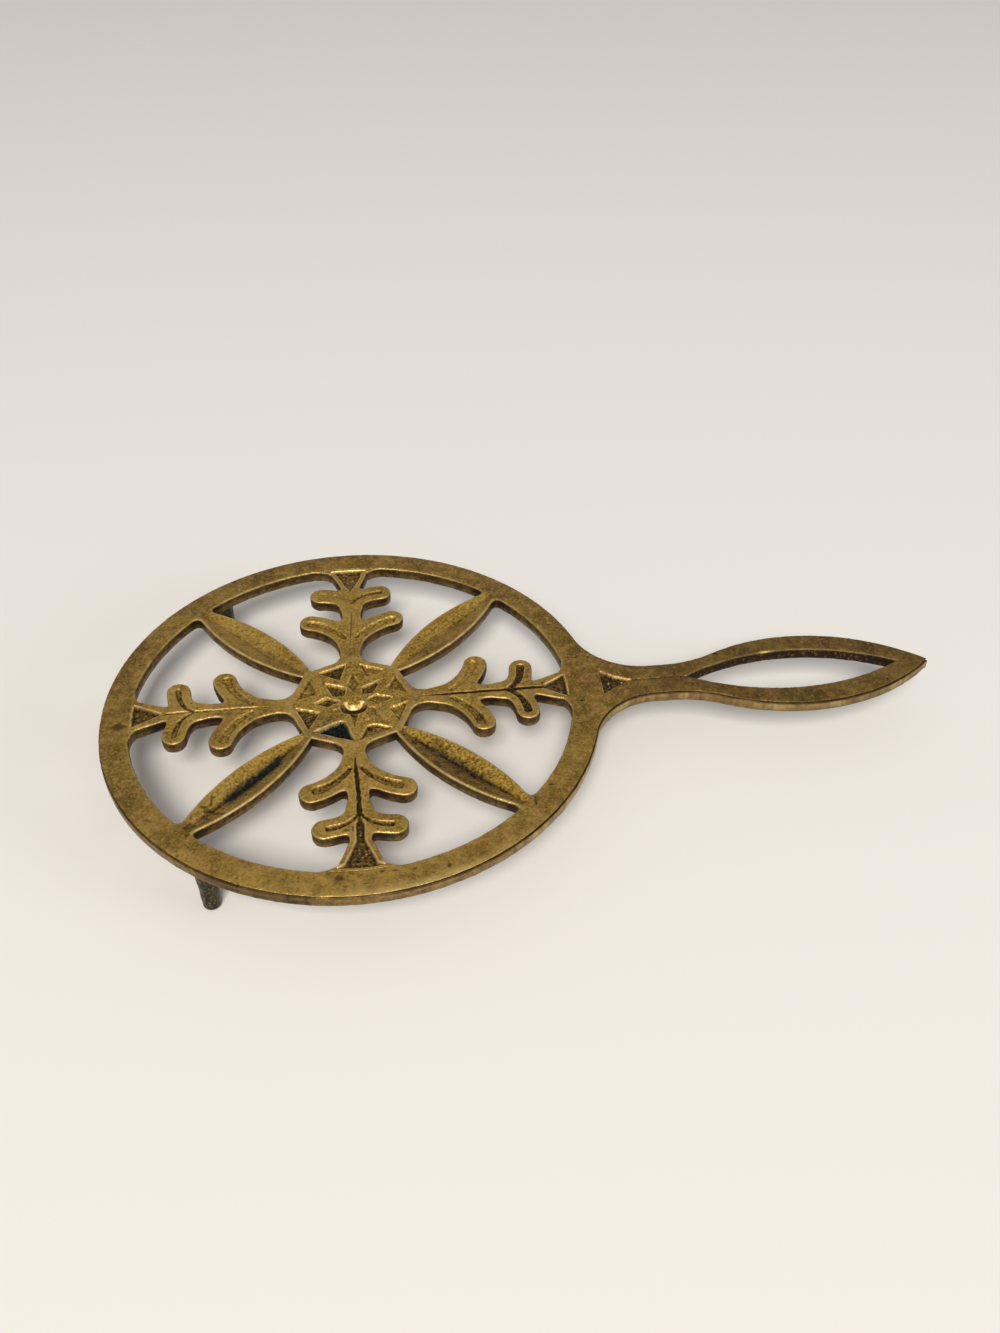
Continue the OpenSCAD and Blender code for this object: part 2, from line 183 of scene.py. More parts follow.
def line_distance(x, y, line, half_widths):
    """Distance from the curve (1-t)^2 a + 2t(1-t) b + t^2 c, taken as straight stretches, less its half
    width there, which goes evenly from the first to the second of half_widths."""
    t = np.linspace(0, 1, STRETCHES + 1)[:, None]
    a, b, c = (np.array(p) for p in line)
    points = (1 - t) ** 2 * a + 2 * t * (1 - t) * b + t * t * c
    nearest = np.full(np.shape(x), np.inf)
    for k in range(len(points) - 1):
        start, run = points[k], points[k + 1] - points[k]
        share = np.clip(((x - start[0]) * run[0] + (y - start[1]) * run[1]) / (run @ run), 0, 1)
        place = (k + share) / (len(points) - 1)
        away = np.hypot(x - start[0] - share * run[0], y - start[1] - share * run[1])
        nearest = np.minimum(nearest, away - half_widths[0] - (half_widths[1] - half_widths[0]) * place)
    return nearest


def stem_half(along):
    """Half width of an arm without its lobes: even, then the wider of flare and tapered base."""
    past = np.clip(along - flare_x, 0, FLARE_R)
    flare = flare_y - np.sqrt(FLARE_R ** 2 - past ** 2)
    return np.maximum(flare, STEM_W / 2 + np.maximum(along - BASE_FROM, 0) * base_slope)


def arm_distance(x, y):
    """Stem, flare and base, joined to the two lobes on either side by hollow fillets."""
    along, beside, arm = arm_frame(x, y)
    up = np.abs(beside)
    flare = FLARE_R - np.hypot(np.maximum(along - flare_x, 0), up - flare_y)
    stem = np.where(up < flare_y, flare, up - STEM_W / 2)
    base = (up - STEM_W / 2 - (along - BASE_FROM) * base_slope) / math.hypot(1, base_slope)
    stem = np.minimum(stem, np.maximum(base, BASE_FROM - along))
    stem = np.maximum(stem, HUB_R / 2 - along)
    lobe_along = along + LOBES_IN[arm]
    leaf = blend(stem, line_distance(lobe_along, up, LARGE_LINE, (LARGE_R, LARGE_R)), LARGE_FILLET)
    leaf = blend(leaf, line_distance(lobe_along, up, SMALL_LINE, (SMALL_R, SMALL_R)), SMALL_FILLET)
    return np.maximum(leaf, along - ring_in_r - RING_W / 2)


def petal_distance(x, y):
    """Distance from the pointed oval between the petal's two arcs, from the hub to the ring only."""
    along, beside, _ = folded(x, y, EIGHTH, QUARTER)
    side = lens_distance(along - petal_x, beside, PETAL_W, PETAL_ARC_R)
    return np.max([side, HUB_R / 2 - along, along - ring_in_r - RING_W / 2], 0)


def plate_distance(x, y):
    """Distance from the whole casting's outline, with fillets where arms meet the hub, petals the ring."""
    leaves = blend(arm_distance(x, y), hub_distance(x, y), HUB_FILLET)
    petals = blend(petal_distance(x, y), ring_distance(x, y), PETAL_FILLET)
    return np.min([leaves, petals, ring_distance(x, y), handle_distance(x, y)], 0)


# The metal. Old brass, sand cast, with a satin sheen: yellow where hands and pots rub it, brown and dull
# elsewhere, nearly black in the hollows, with a little verdigris. Painted highlight and painted shade are
# laid on it too. A mask for each state says, corner by corner of a mesh, how far it holds there.
MASKS = ("fresh_and_lit", "worn", "hollow", "grime_and_shade", "verdigris", "golden", "wall", "groove")
# Grain of the cast skin: its size and the depth of its bump, in millimetres
GRAIN_SIZE, GRAIN_DEPTH = 0.7, 0.2


def flat_colour(code):
    """An sRGB hex colour as linear red, green, blue and 1: each channel by the sRGB curve."""
    channels = [int(code[i:i + 2], 16) / 255 for i in (1, 3, 5)]
    return [c / 12.92 if c <= 0.04045 else ((c + 0.055) / 1.055) ** 2.4 for c in channels] + [1]


def fill(tree, node, inputs):
    """Fills a shader node's named inputs, each with a value or a link from another's socket."""
    for name, value in inputs.items():
        if isinstance(value, bpy.types.NodeSocket):
            tree.links.new(value, node.inputs[name])
        else:
            node.inputs[name].default_value = value


def add_node(tree, kind, inputs, **settings):
    """A new shader node with these inputs and settings."""
    made = tree.nodes.new(kind)
    for name, value in settings.items():
        setattr(made, name, value)
    fill(tree, made, inputs)
    return made


def mixed(tree, share, a, b):
    """A colour between a and b, by a share that another node gives."""
    return add_node(tree, "ShaderNodeMix", {0: share, 6: a, 7: b}, data_type="RGBA").outputs[2]


def between(tree, value, low, high, to_low=0, to_high=1):
    """A value brought from the range low to high into another range, and cut off beyond it."""
    levels = {0: value, 1: low, 2: high, 3: to_low, 4: to_high}
    return add_node(tree, "ShaderNodeMapRange", levels).outputs[0]


def old_brass(name, body, fresh_body, inner_wall, outer_wall):
    """Cast brass from pairs of colours, dark and light: tarnished faces and fresher ones, which also carry
    painted light, inner and outer walls. Noise mottles them, and then each mask lays its own tint over what
    is there, painted highlight and painted shade among them."""
    brass = bpy.data.materials.new(name)
    brass.use_nodes = True
    tree = brass.node_tree
    place = tree.nodes.new("ShaderNodeTexCoord").outputs["Object"]
    mask = {}
    for label in MASKS:
        mask[label] = add_node(tree, "ShaderNodeAttribute", {}, attribute_name=label).outputs["Fac"]

    def noise(size):
        """Cloudy noise with features about size millimetres wide."""
        settings = {"Vector": place, "Scale": 1 / (size * MM), "Detail": 4}
        return add_node(tree, "ShaderNodeTexNoise", settings).outputs[0]

    cloud, patch, mottle, grain = noise(11), noise(5), noise(2.2), noise(GRAIN_SIZE)

    def pair(colours, value, low, high):
        """From the dark to the light colour of a pair as a noise value goes from low to high."""
        return mixed(tree, between(tree, value, low, high), flat_colour(colours[0]), flat_colour(colours[1]))

    tint = mixed(tree, mask["fresh_and_lit"], pair(body, cloud, 0.36, 0.64), pair(fresh_body, cloud, 0.36, 0.64))
    # Dull patches, dark and pale mottling, bright and dark grains: noise, its range, greatest share, colour
    for value, low, high, share, code in (
        (patch, 0.5, 0.68, 0.2, "#66552a"),
        (mottle, 0.52, 0.68, 0.3, "#5e451a"), (mottle, 0.5, 0.34, 0.4, "#d0a264"),
        (grain, 0.53, 0.7, 0.5, "#d4b052"), (grain, 0.46, 0.3, 0.5, "#4f3a12"),
    ):
        tint = mixed(tree, between(tree, value, low, high, 0, share), tint, flat_colour(code))
    # Golden: yellow metal, and painted light on the petals' far slopes
    tint = mixed(tree, mask["golden"], tint, pair(("#84621a", "#dcb64c"), grain, 0.38, 0.64))
    # Hollow: dirt in the hollows, and painted shade in dips and on the petals' near slopes
    tint = mixed(tree, mask["hollow"], tint, pair(("#241a0d", "#7a5f2a"), grain, 0.42, 0.68))
    inner, outer = pair(inner_wall, mottle, 0.35, 0.65), pair(outer_wall, mottle, 0.35, 0.65)
    # On walls this mask picks the outer pair, and lightens inner walls low down with painted reflected light
    wall_tint = mixed(tree, mask["fresh_and_lit"], inner, outer)
    wall_tint = mixed(tree, between(tree, grain, 0.5, 0.72, 0, 0.45), wall_tint, flat_colour("#a8925f"))
    tint = mixed(tree, mask["wall"], tint, wall_tint)
    # Dirt, and painted shade in narrow gaps, under inner lips and inside the loop
    tint = mixed(tree, mask["grime_and_shade"], tint, flat_colour("#2a1d10"))
    # Painted shade in the groove below the outer edge
    tint = mixed(tree, mask["groove"], tint, flat_colour("#2c1b04"))
    tint = mixed(tree, mask["verdigris"], tint, pair(("#0b1214", "#22443c"), grain, 0.48, 0.74))
    # Bare worn metal, and painted highlight on edges, on the boss, in the loop and at the ring's front
    tint = mixed(tree, mask["worn"], tint, flat_colour("#e9cb86"))
    relief = {"Height": grain, "Distance": GRAIN_DEPTH * MM, "Strength": 0.7}
    bump = add_node(tree, "ShaderNodeBump", relief).outputs[0]
    dirt = {0: mask["grime_and_shade"], 1: mask["hollow"]}
    dull = add_node(tree, "ShaderNodeMath", dirt, operation="MAXIMUM").outputs[0]
    sheen = between(tree, dull, 0, 1, 0.42, 0.7)
    look = {"Base Color": tint, "Normal": bump, "Roughness": sheen, "Metallic": 0.75}
    fill(tree, tree.nodes["Principled BSDF"], look)
    return brass


plate_brass = old_brass(
    "old_cast_brass",
    body=("#7d5f29", "#a3833d"), fresh_body=("#9c7a34", "#c29e4e"),
    inner_wall=("#3b2b14", "#705a30"), outer_wall=("#5c441e", "#927340"),
)

# The pour. A piece becomes a sheet of small squares, drawn to the casting's outline where it ends and
# to the neighbour's border where the next piece begins. The edge's profile is carried round the outline.
EDGE_IN = 0.6
# From the top's edge, out and down to the underside's edge: millimetres outwards and downwards
PLAIN_EDGE = np.array([
    (-0.6, 0), (-0.38, 0.05), (-0.2, 0.15), (-0.08, 0.32), (-0.02, 0.6), (0, 1),
    (0, 1.6), (0, 2.2), (0, 2.8), (-0.06, 3.3), (-0.22, 3.62), (-0.55, 3.8),
])
# Round the outside of ring and handle a thin groove runs below the top, where the mould's halves met
RIBBED_EDGE = np.array([
    (-0.6, 0), (-0.46, 0.03), (-0.38, 0.07), (-0.38, 0.1), (-0.84, 0.16), (-0.92, 0.38),
    (-0.52, 0.6), (-0.14, 0.8), (0, 1.2), (0, 2.6), (-0.05, 3.55), (-0.3, 3.8),
])
# For each level of them: how far it counts as side wall, how much painted light, reflected from the
# table, lightens an inner wall there, how far plain and ribbed edges are worn and painted with highlight,
# and how dark the groove is painted as shade
LEVEL_WALL = (0, 0, 0.1, 0.5, 1, 1, 1, 1, 1, 1, 1, 1)
INNER_REFLECTED_LIGHT = (0, 0, 0, 0, 0.05, 0.15, 0.35, 0.6, 0.8, 0.9, 0.85, 0.6)
PLAIN_WEAR_AND_HIGHLIGHT = (0.15, 0.35, 0.3, 0.05, 0, 0, 0, 0, 0, 0.05, 0.2, 0.2)
RIBBED_WEAR_AND_HIGHLIGHT = (0, 0, 0, 0, 0, 0, 0, 0, 0.1, 0, 0.1, 0.25)
RIBBED_GROOVE_SHADE = (0, 0, 0.1, 0.7, 0.95, 0.95, 0.95, 0.85, 0.05, 0, 0, 0)
# Numbers of levels: the rounded lip, the band below it painted with shade, the first of the wall, the
# band painted with light
LIP, SHADED_BAND, WALL_FROM, SIDE_LIT_BAND = (1, 2, 3), (4, 5, 6), 4, (8, 9)
SHOULDER_W, SHOULDER_DROP = 2.2, 0.18
UNDER_ROUGH, WALL_ROUGH = 0.05, 0.06
# What stands this much above the height round it is worn and painted with highlight, and what lies
# this much below gets dirt and painted shade
ROUND_ABOUT, WEAR_AND_HIGHLIGHT_RISE, DIRT_AND_SHADE_DIP = 0.42, (0.045, 0.17), (0.03, 0.16)
# Walls in narrow gaps, with metal again this far out, are painted with shade
NARROW_SHADE_REACH = 4.6
# The loop's inner edge is painted with shade but for one painted highlight, this far from the gap's middle
GLEAM_X, GLEAM_W = -6, 1.8
# Round the near side: where the wall is painted lit from the side, where the groove's painted shade
# deepens, and, to the left, where the wall darkens and clears again
WALL_SIDE_LIT, GROOVE_BLACKENS, DARK_STRETCH_FROM, DARK_STRETCH_TO = (15, 45), (-30, 0), (8, 16), (34, 46)


def slope_of(distance, x, y):
    """How fast a distance grows along x and along y, from its values just beside the point."""
    h = 0.02
    along_x = distance(x + h, y) - distance(x - h, y)
    along_y = distance(x, y + h) - distance(x, y - h)
    return along_x / (2 * h), along_y / (2 * h)


def to_level(distance, x, y, level, rounds=3):
    """Moves points the steepest way until their distance is level."""
    for _ in range(rounds):
        gx, gy = slope_of(distance, x, y)
        steep = np.maximum(gx * gx + gy * gy, 0.25)
        gap = np.clip((level - distance(x, y)) / steep, -0.4, 0.4)
        x, y = x + gap * gx, y + gap * gy
    return x, y


def to_meeting(distance, border, x, y, level):
    """Moves points to where one distance is level and the other 0: both slopes solved together."""
    for _ in range(8):
        ax, ay = slope_of(distance, x, y)
        bx, by = slope_of(border, x, y)
        a, b = distance(x, y) - level, border(x, y)
        cross = ax * by - ay * bx
        cross = np.where(np.abs(cross) < 0.05, 0.05, cross)
        x = x - np.clip((a * by - b * ay) / cross, -0.4, 0.4)
        y = y - np.clip((b * ax - a * bx) / cross, -0.4, 0.4)
    return x, y


def outer_shoulder(x, y):
    """Share of the rounded shoulder round ring and handle: 0 well inside, 1 at the outer edge."""
    outside = np.minimum(np.hypot(x, y) - ring_r, handle_outside(x, y))
    return np.clip(1 + (outside + EDGE_IN) / SHOULDER_W, 0, 1) ** 2


# In the top: height of the long and the short waves, and depth of the sand holes
LONG_WAVE, SHORT_WAVE, HOLE_DEPTH = 0.04, 0.02, 0.12
# The ring carries painted light towards front and right, and is dull outwards; the handle's root darkens
FRONT_FROM, RIGHT_FROM, RING_DULLS, ROOT_DARKENS = (30, 62), (-45, -5), (55, 66), (68, 92)
# The outer shoulder is worn and painted with a highlight at the front, over this width round this place
POLISH_SHEEN_X, POLISH_SHEEN_W, POLISH_SHEEN_FROM = 18, 21, (30, 50)


def plain_top(x, y):
    """Height and masks every piece's relief starts from: gentle waves, outer shoulder, sand holes."""
    waves = -LONG_WAVE * (1 + rough(x, y, 9, 1)) - SHORT_WAVE * (1 + rough(x, y, 1.6, 2))
    holes, flecks = spotted(x, y, 1.25, 12, 0.86, 0.97), spotted(x, y, 0.8, 13, 0.72, 0.95)
    front = step(-y, *FRONT_FROM) * (0.65 + 0.35 * step(x, *RIGHT_FROM))
    # Worn shoulder with a painted highlight at the front
    polish_sheen = np.exp(-((x - POLISH_SHEEN_X) / POLISH_SHEEN_W) ** 2) * step(-y, *POLISH_SHEEN_FROM)
    polish_sheen = polish_sheen * np.sqrt(outer_shoulder(x, y)) * (0.8 + 0.35 * rough(x, y, 2.2, 26))
    top = {label: np.zeros(np.shape(x)) for label in MASKS}
    top["height"] = waves - SHOULDER_DROP * (1 + 0.6 * front) * outer_shoulder(x, y) - HOLE_DEPTH * holes
    # Painted light on the ring's front and right
    top["fresh_and_lit"] = np.clip(1 - step(np.hypot(x, y), *RING_DULLS) + 0.75 * front, 0, 1)
    top["worn"] = np.clip(0.6 * polish_sheen, 0, 1)
    top["grime_and_shade"] = 0.75 * holes + 0.25 * flecks * (1 - holes) + 0.4 * step(x, *ROOT_DARKENS)
    return top


def at_least(top, label, share):
    """Brings a mask up to share wherever it is lower."""
    top[label] = np.maximum(top[label], share)


def add_object(name, data):
    """Puts a mesh, a lamp or a camera into the scene."""
    made = bpy.data.objects.new(name, data)
    scene.collection.objects.link(made)
    return made


def add_piece(made_name, node, points, faces, smooth_count, masks, brass):
    """A mesh of points in metres, its first faces smooth, put in the CAD node's place."""
    mesh = bpy.data.meshes.new(node)
    mesh.from_pydata(points.tolist(), [], faces)
    mesh.polygons.foreach_set("use_smooth", np.arange(len(faces)) < smooth_count)
    for label, values in masks.items():
        mask = mesh.attributes.new(label, "FLOAT", "POINT")
        mask.data.foreach_set("value", values.astype(np.float32))
    mesh.materials.append(brass)
    piece = add_object(made_name, mesh)
    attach(piece, "root")
    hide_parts(node)


def pour(name, grid, border, surface, eighth=None):
    """One named piece as a closed mesh. Its squares are those of a lattice, grid millimetres wide, whose
    middles lie in the casting, inside border and, if it's given, in this eighth of the circle."""
    low, high = (np.array(corner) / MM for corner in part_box(name))
    columns = np.arange(np.floor((low[0] - ring_x - 2) / grid), np.ceil((high[0] - ring_x + 2) / grid))
    rows = np.arange(np.floor((low[1] - 2) / grid), np.ceil((high[1] + 2) / grid))
    mid_x, mid_y = np.meshgrid((columns + 0.5) * grid, (rows + 0.5) * grid, indexing="ij")

    def inside(x, y):
        """Distance from the piece's outline: the larger of those from the casting's edge and the border."""
        return np.maximum(plate_distance(x, y) + EDGE_IN, border(x, y))

    metal = inside(mid_x, mid_y) < 0
    if eighth is not None:
        metal &= folded(mid_x, mid_y, 0)[2] == eighth
    # Two squares that touch only at a corner get a third
    for _ in range(3):
        a, b, c, d = metal[:-1, :-1], metal[1:, :-1], metal[:-1, 1:], metal[1:, 1:]
        metal[:-1, :-1] |= (b & c & ~a & ~d)
        metal[1:, :-1] |= (a & d & ~b & ~c)

    # Corners of the squares, numbered where metal touches them
    corner = np.zeros((len(columns) + 1, len(rows) + 1), bool)
    for di, dj in ((0, 0), (0, 1), (1, 0), (1, 1)):
        corner[di:di + len(columns), dj:dj + len(rows)] |= metal
    number = np.where(corner, np.cumsum(corner).reshape(corner.shape) - 1, -1)
    ci, cj = np.nonzero(corner)
    x, y = (columns[0] + ci) * grid, (rows[0] + cj) * grid
    mi, mj = np.nonzero(metal)
    squares = np.stack([number[mi, mj], number[mi + 1, mj], number[mi + 1, mj + 1], number[mi, mj + 1]], 1)
    sides, open_sides = [], []
    for k, (di, dj) in enumerate(((0, -1), (1, 0), (0, 1), (-1, 0))):
        side = squares[:, [k, (k + 1) % 4]]
        sides.append(side)
        open_sides.append(side[~metal[mi + di, mj + dj]])
    sides, rim = np.concatenate(sides), np.concatenate(open_sides)

    # The corners round the piece slide to its outline and even out along it, and those inside follow
    count = len(x)
    after, before = np.zeros(count, int), np.zeros(count, int)
    after[rim[:, 0]], before[rim[:, 1]] = rim[:, 1], rim[:, 0]
    round_it = rim[:, 0]
    within = np.ones(count, bool)
    within[round_it] = False
    links = np.concatenate([sides, sides[:, ::-1]])
    degree = np.bincount(links[:, 0], minlength=count)
    for _ in range(6):
        for place in (x, y):
            mean = np.bincount(links[:, 0], place[links[:, 1]], count) / degree
            place[within] += 0.5 * (mean - place)[within]
            place[round_it] = 0.5 * place[round_it] + 0.25 * (place[after] + place[before])[round_it]
        x[round_it], y[round_it] = to_level(inside, x[round_it], y[round_it], 0)
    half_x, half_y = x[rim].mean(1), y[rim].mean(1)
    at_border = border(half_x, half_y) > plate_distance(half_x, half_y) + EDGE_IN
    edge, joint = rim[~at_border], rim[at_border]
    at_edge, at_joint = np.zeros(count, bool), np.zeros(count, bool)
    at_edge[edge.ravel()], at_joint[joint.ravel()] = True, True
    both = at_edge & at_joint
    x[both], y[both] = to_meeting(plate_distance, border, x[both], y[both], -EDGE_IN)
    only = at_edge & ~at_joint
    x[only], y[only] = to_level(plate_distance, x[only], y[only], -EDGE_IN)

    # Worn and painted highlight are where the top stands above its own average round it, and dirt and
    # painted shade where it lies below
    top = surface(x, y)
    height = top["height"]
    even = height
    for _ in range(max(2, round((ROUND_ABOUT / grid) ** 2 * 2))):
        even = 0.3 * even + 0.7 * np.bincount(links[:, 0], even[links[:, 1]], count) / degree
    rise = height - even
    uneven = 0.65 + 0.45 * rough(x, y, 1.7, 22)
    top["worn"] = np.clip(top["worn"] + 0.85 * uneven * step(rise, *WEAR_AND_HIGHLIGHT_RISE), 0, 1)
    top["hollow"] = np.clip(top["hollow"] + 0.5 * step(-rise, *DIRT_AND_SHADE_DIP), 0, 1)
    under = -plate_t + UNDER_ROUGH * (1 + rough(x, y, 1.4, 6))

    # The edge's profile at every outline corner: ribbed round the outside, plain elsewhere
    ring_of = np.flatnonzero(at_edge)
    edge_x, edge_y = x[ring_of], y[ring_of]
    outer = np.hypot(edge_x, edge_y) > ring_r - RING_W / 2
    outer &= lens_distance(edge_x - gap_x, edge_y, GAP_W, gap_arc_r) > 2 * EDGE_IN
    ribbed = outer.astype(float)[:, None, None]
    profile = PLAIN_EDGE * (1 - ribbed) + RIBBED_EDGE * ribbed
    levels = len(PLAIN_EDGE)
    wall = np.zeros((len(ring_of), levels, 3))
    wall_x, wall_y = edge_x, edge_y
    for k in range(levels):
        pitted = WALL_ROUGH * (rough(edge_x + 7 * k, edge_y, 1.3, 7) - 1) * (0 < k < levels - 1)
        wall_x, wall_y = to_level(plate_distance, wall_x, wall_y, profile[:, k, 0] + pitted, 2)
        drop = profile[:, k, 1] / PLAIN_EDGE[-1, 1]
        wall[:, k] = np.stack([wall_x, wall_y, height[ring_of] * (1 - drop) + under[ring_of] * drop], 1)

    # All corners in one list: top, underside, then the profile's inner levels for each outline corner
    points = np.concatenate([
        np.stack([x, y, height], 1),
        np.stack([x, y, under], 1),
        wall[:, 1:-1].reshape(-1, 3),
    ])
    points[count + ring_of] = wall[:, -1]
    column = np.zeros((count, levels), int)
    column[:, 0], column[:, -1] = np.arange(count), count + np.arange(count)
    column[ring_of, 1:-1] = 2 * count + np.arange(len(ring_of) * (levels - 2)).reshape(len(ring_of), -1)
    masks = {label: np.append(top[label], np.zeros(len(points) - count)) for label in MASKS}
    masks["wall"][count:] = 1

    # Wear, dirt, painted highlight and painted shade along the outline, then level by level down the wall
    near_side, in_loop = outer & (edge_y < 0), ~outer & (edge_x > ring_r)
    patchy = 0.7 + 0.5 * rough(edge_x, edge_y, 2.2, 21)
    out_x, out_y = slope_of(plate_distance, edge_x, edge_y)
    # Painted shade on inner walls that face metal close across a narrow gap
    across = plate_distance(edge_x + NARROW_SHADE_REACH * out_x, edge_y + NARROW_SHADE_REACH * out_y)
    narrow_shade = (1 - step(across, 0.2 * NARROW_SHADE_REACH, 0.85 * NARROW_SHADE_REACH)) * ~outer
    # Painted light on the outer wall's lower band, towards the right of the near side
    side_light = 0.3 * step(edge_x, *WALL_SIDE_LIT) * near_side * (0.7 + 0.5 * rough(edge_x, edge_y, 0.8, 33))
    # Painted shade in the groove, deepest towards the front
    groove_shade = 0.7 + 0.3 * step(edge_x, *GROOVE_BLACKENS) * (edge_y < 0)
    groove_shade = groove_shade + 0.15 * rough(edge_x, edge_y, 3, 30)
    # A painted highlight on the loop's inner edge
    gleam = np.exp(-((edge_x - gap_x - GLEAM_X) / GLEAM_W) ** 2) * (in_loop & (edge_y > 0))
    # Painted shade on the loop's inner walls, and a darker stretch of outer wall at the front left
    loop_shade_and_dark_stretch = 0.75 * in_loop + 0.55 * step(-edge_x, *DARK_STRETCH_FROM) * (1 - step(-edge_x, *DARK_STRETCH_TO)) * near_side
    for k in range(levels):
        at = column[ring_of, k]
        worn = np.where(outer, RIBBED_WEAR_AND_HIGHLIGHT[k], PLAIN_WEAR_AND_HIGHLIGHT[k] * (1 - 0.7 * in_loop)) + side_light * (k in SIDE_LIT_BAND)
        worn = (worn + 0.8 * gleam * (k < WALL_FROM)) * patchy + top["worn"][ring_of] * (k < WALL_FROM)
        fresh_and_lit = np.maximum(outer, INNER_REFLECTED_LIGHT[k] * patchy) if LEVEL_WALL[k] > 0.3 else top["fresh_and_lit"][ring_of]
        # Stains, and the loop's painted shade
        stain_and_shade = 0.3 * spotted(edge_x + 5 * k, edge_y, 2.4, 28, 0.1, 0.8) + loop_shade_and_dark_stretch
        # Dirt, with painted shade in the band under inner lips and in narrow gaps
        wall_dirt_and_shade = np.minimum(top["grime_and_shade"][ring_of], 0.25) + 0.5 * ~outer * (k in SHADED_BAND) * patchy
        wall_dirt_and_shade = wall_dirt_and_shade + 0.7 * narrow_shade * (k >= WALL_FROM - 1) + stain_and_shade * (k >= WALL_FROM)
        # Painted shade on the loop's inner lip, outside the painted highlight
        wall_dirt_and_shade = wall_dirt_and_shade + 0.4 * (in_loop * (1 - gleam)) * (k in LIP)
        bare = in_loop * spotted(edge_x + 3 * k, edge_y, 0.55, 32, 0.3, 0.8) * (k >= WALL_FROM)
        masks["wall"][at] = LEVEL_WALL[k]
        masks["worn"][at] = np.clip(worn, 0, 1)
        masks["fresh_and_lit"][at] = fresh_and_lit
        masks["groove"][at] = outer * RIBBED_GROOVE_SHADE[k] * groove_shade
        masks["grime_and_shade"][at] = np.clip(wall_dirt_and_shade * (1 - 0.85 * bare), 0, 1)

    left, right = column[edge[:, 0]], column[edge[:, 1]]
    strips = np.stack([right[:, :-1], left[:, :-1], left[:, 1:], right[:, 1:]], 2).reshape(-1, 4)
    smooth = np.concatenate([squares, squares[:, ::-1] + count, strips])
    joints = np.stack([joint[:, 1], joint[:, 0], joint[:, 0] + count, joint[:, 1] + count], 1)
    starts, ends = np.intersect1d(edge[:, 0], joint[:, 1]), np.intersect1d(edge[:, 1], joint[:, 0])
    faces = smooth.tolist() + joints.tolist() + column[starts, ::-1].tolist() + column[ends].tolist()
    points = (points + (ring_x, 0, plate_top)) * MM
    add_piece("cast_" + name, name, points, faces, len(smooth), masks, plate_brass)


# Ring. A flat band that carries the pot, rubbed bright by it. Sand holes from the casting and a few
# stains are left in its face, each given by its place and half widths, in millimetres, and its share.
MARK_DEPTH = 0.1
RING_MARKS = (
    (-64.2, -3.7, 2, 1.6, 0.75), (-62.6, 1.2, 2.6, 2.6, 0.25), (-5, -63.9, 1.3, 1.3, 0.7),
    (-53.6, -39.5, 0.8, 0.5, 0.6), (-42.9, -45.8, 0.5, 0.45, 0.7), (-29.9, -61.2, 0.5, 0.4, 0.7),
    (-3.7, -66.6, 0.8, 0.35, 0.6), (0.2, -63.4, 0.45, 0.4, 0.7), (5.7, -62.9, 0.9, 0.5, 0.7),
    (8.6, -63, 1, 0.4, 0.7), (13.6, -62.9, 0.6, 0.35, 0.6), (22, -62.8, 0.75, 0.7, 0.8),
    (48.6, -46.4, 0.55, 0.5, 0.6), (48.4, -47.9, 0.5, 0.5, 0.6), (51.1, -38.4, 1.1, 0.45, 0.8),
    (64.6, -7.1, 1.2, 0.4, 0.85), (63.2, 11.9, 1.4, 0.4, 0.6), (65.8, 11.7, 0.9, 0.45, 0.7),
    (54.5, 35, 1.2, 0.6, 0.3), (-52, 38, 2.5, 1.5, 0.2), (30.5, 58.5, 2.5, 1, 0.35),
)


def marks(x, y, places):
    """Share of dirt from stains and holes nearby: each fades out over its rough-edged oval."""
    dirt = np.zeros(np.shape(x))
    for mark_x, mark_y, half_x, half_y, share in places:
        away = np.hypot((x - mark_x) / half_x, (y - mark_y) / half_y) + 0.25 * rough(x, y, 0.6, 5)
        dirt = np.maximum(dirt, share * (1 - step(away, 0.55, 1.15)))
    return dirt


def ring_surface(x, y):
    """Plain top with the ring's own marks pressed in."""
    top = plain_top(x, y)
    dirt = marks(x, y, RING_MARKS)
    patch = step(rough(x, y, 2.6, 14) + 0.5 * rough(x, y, 1.1, 15), 0.55, 1.2)
    top["height"] -= MARK_DEPTH * dirt
    at_least(top, "grime_and_shade", np.maximum(dirt, 0.3 * patch))
    return top


pour("rim", 0.32, ring_distance, ring_surface)

# Handle. It leaves the ring in two hollow curves, narrows to a neck and swells into a pointed loop to
# hang it by. The root has a three-cornered hollow, and a thin scribed line runs from it to the loop.
ROOT_HOLLOW_L, ROOT_HOLLOW_W, ROOT_DEPTH = 9.3, 10.2, 1.1
NECK_LINE_W, NECK_DEPTH, PIT_DEPTH = 0.7, 0.35, 0.07
HANDLE_MARKS = (
    (130.2, 11.9, 0.7, 1.9, 0.7), (119.7, -9.8, 1.2, 0.6, 0.3), (140.5, 10.6, 1.5, 0.6, 0.4),
    (150, -4.5, 1.6, 0.6, 0.35), (112, 8.5, 1.4, 0.5, 0.4), (135, -11, 2.2, 0.5, 0.3),
)
root_hollow_x = ring_r + 1.3


def root_hollow(x, y):
    """Distance inside the three-cornered hollow: its sides curve in like the handle's own."""
    along = np.minimum((x - root_hollow_x) / ROOT_HOLLOW_L, 1)
    half = ROOT_HOLLOW_W / 2 * (1 - along) * (1 - 0.35 * along)
    return np.minimum((half - np.abs(y)) * 0.85, x - root_hollow_x)


def neck_line(x, y):
    """Distance inside the thin line: half its width less the distance from the middle."""
    inside = NECK_LINE_W / 2 - np.abs(y - 0.12 * rough(x, y * 0, 3, 11))
    return np.where((x > root_hollow_x + ROOT_HOLLOW_L * 0.8) & (x < gap_x - GAP_L / 2 + 1), inside, -1)


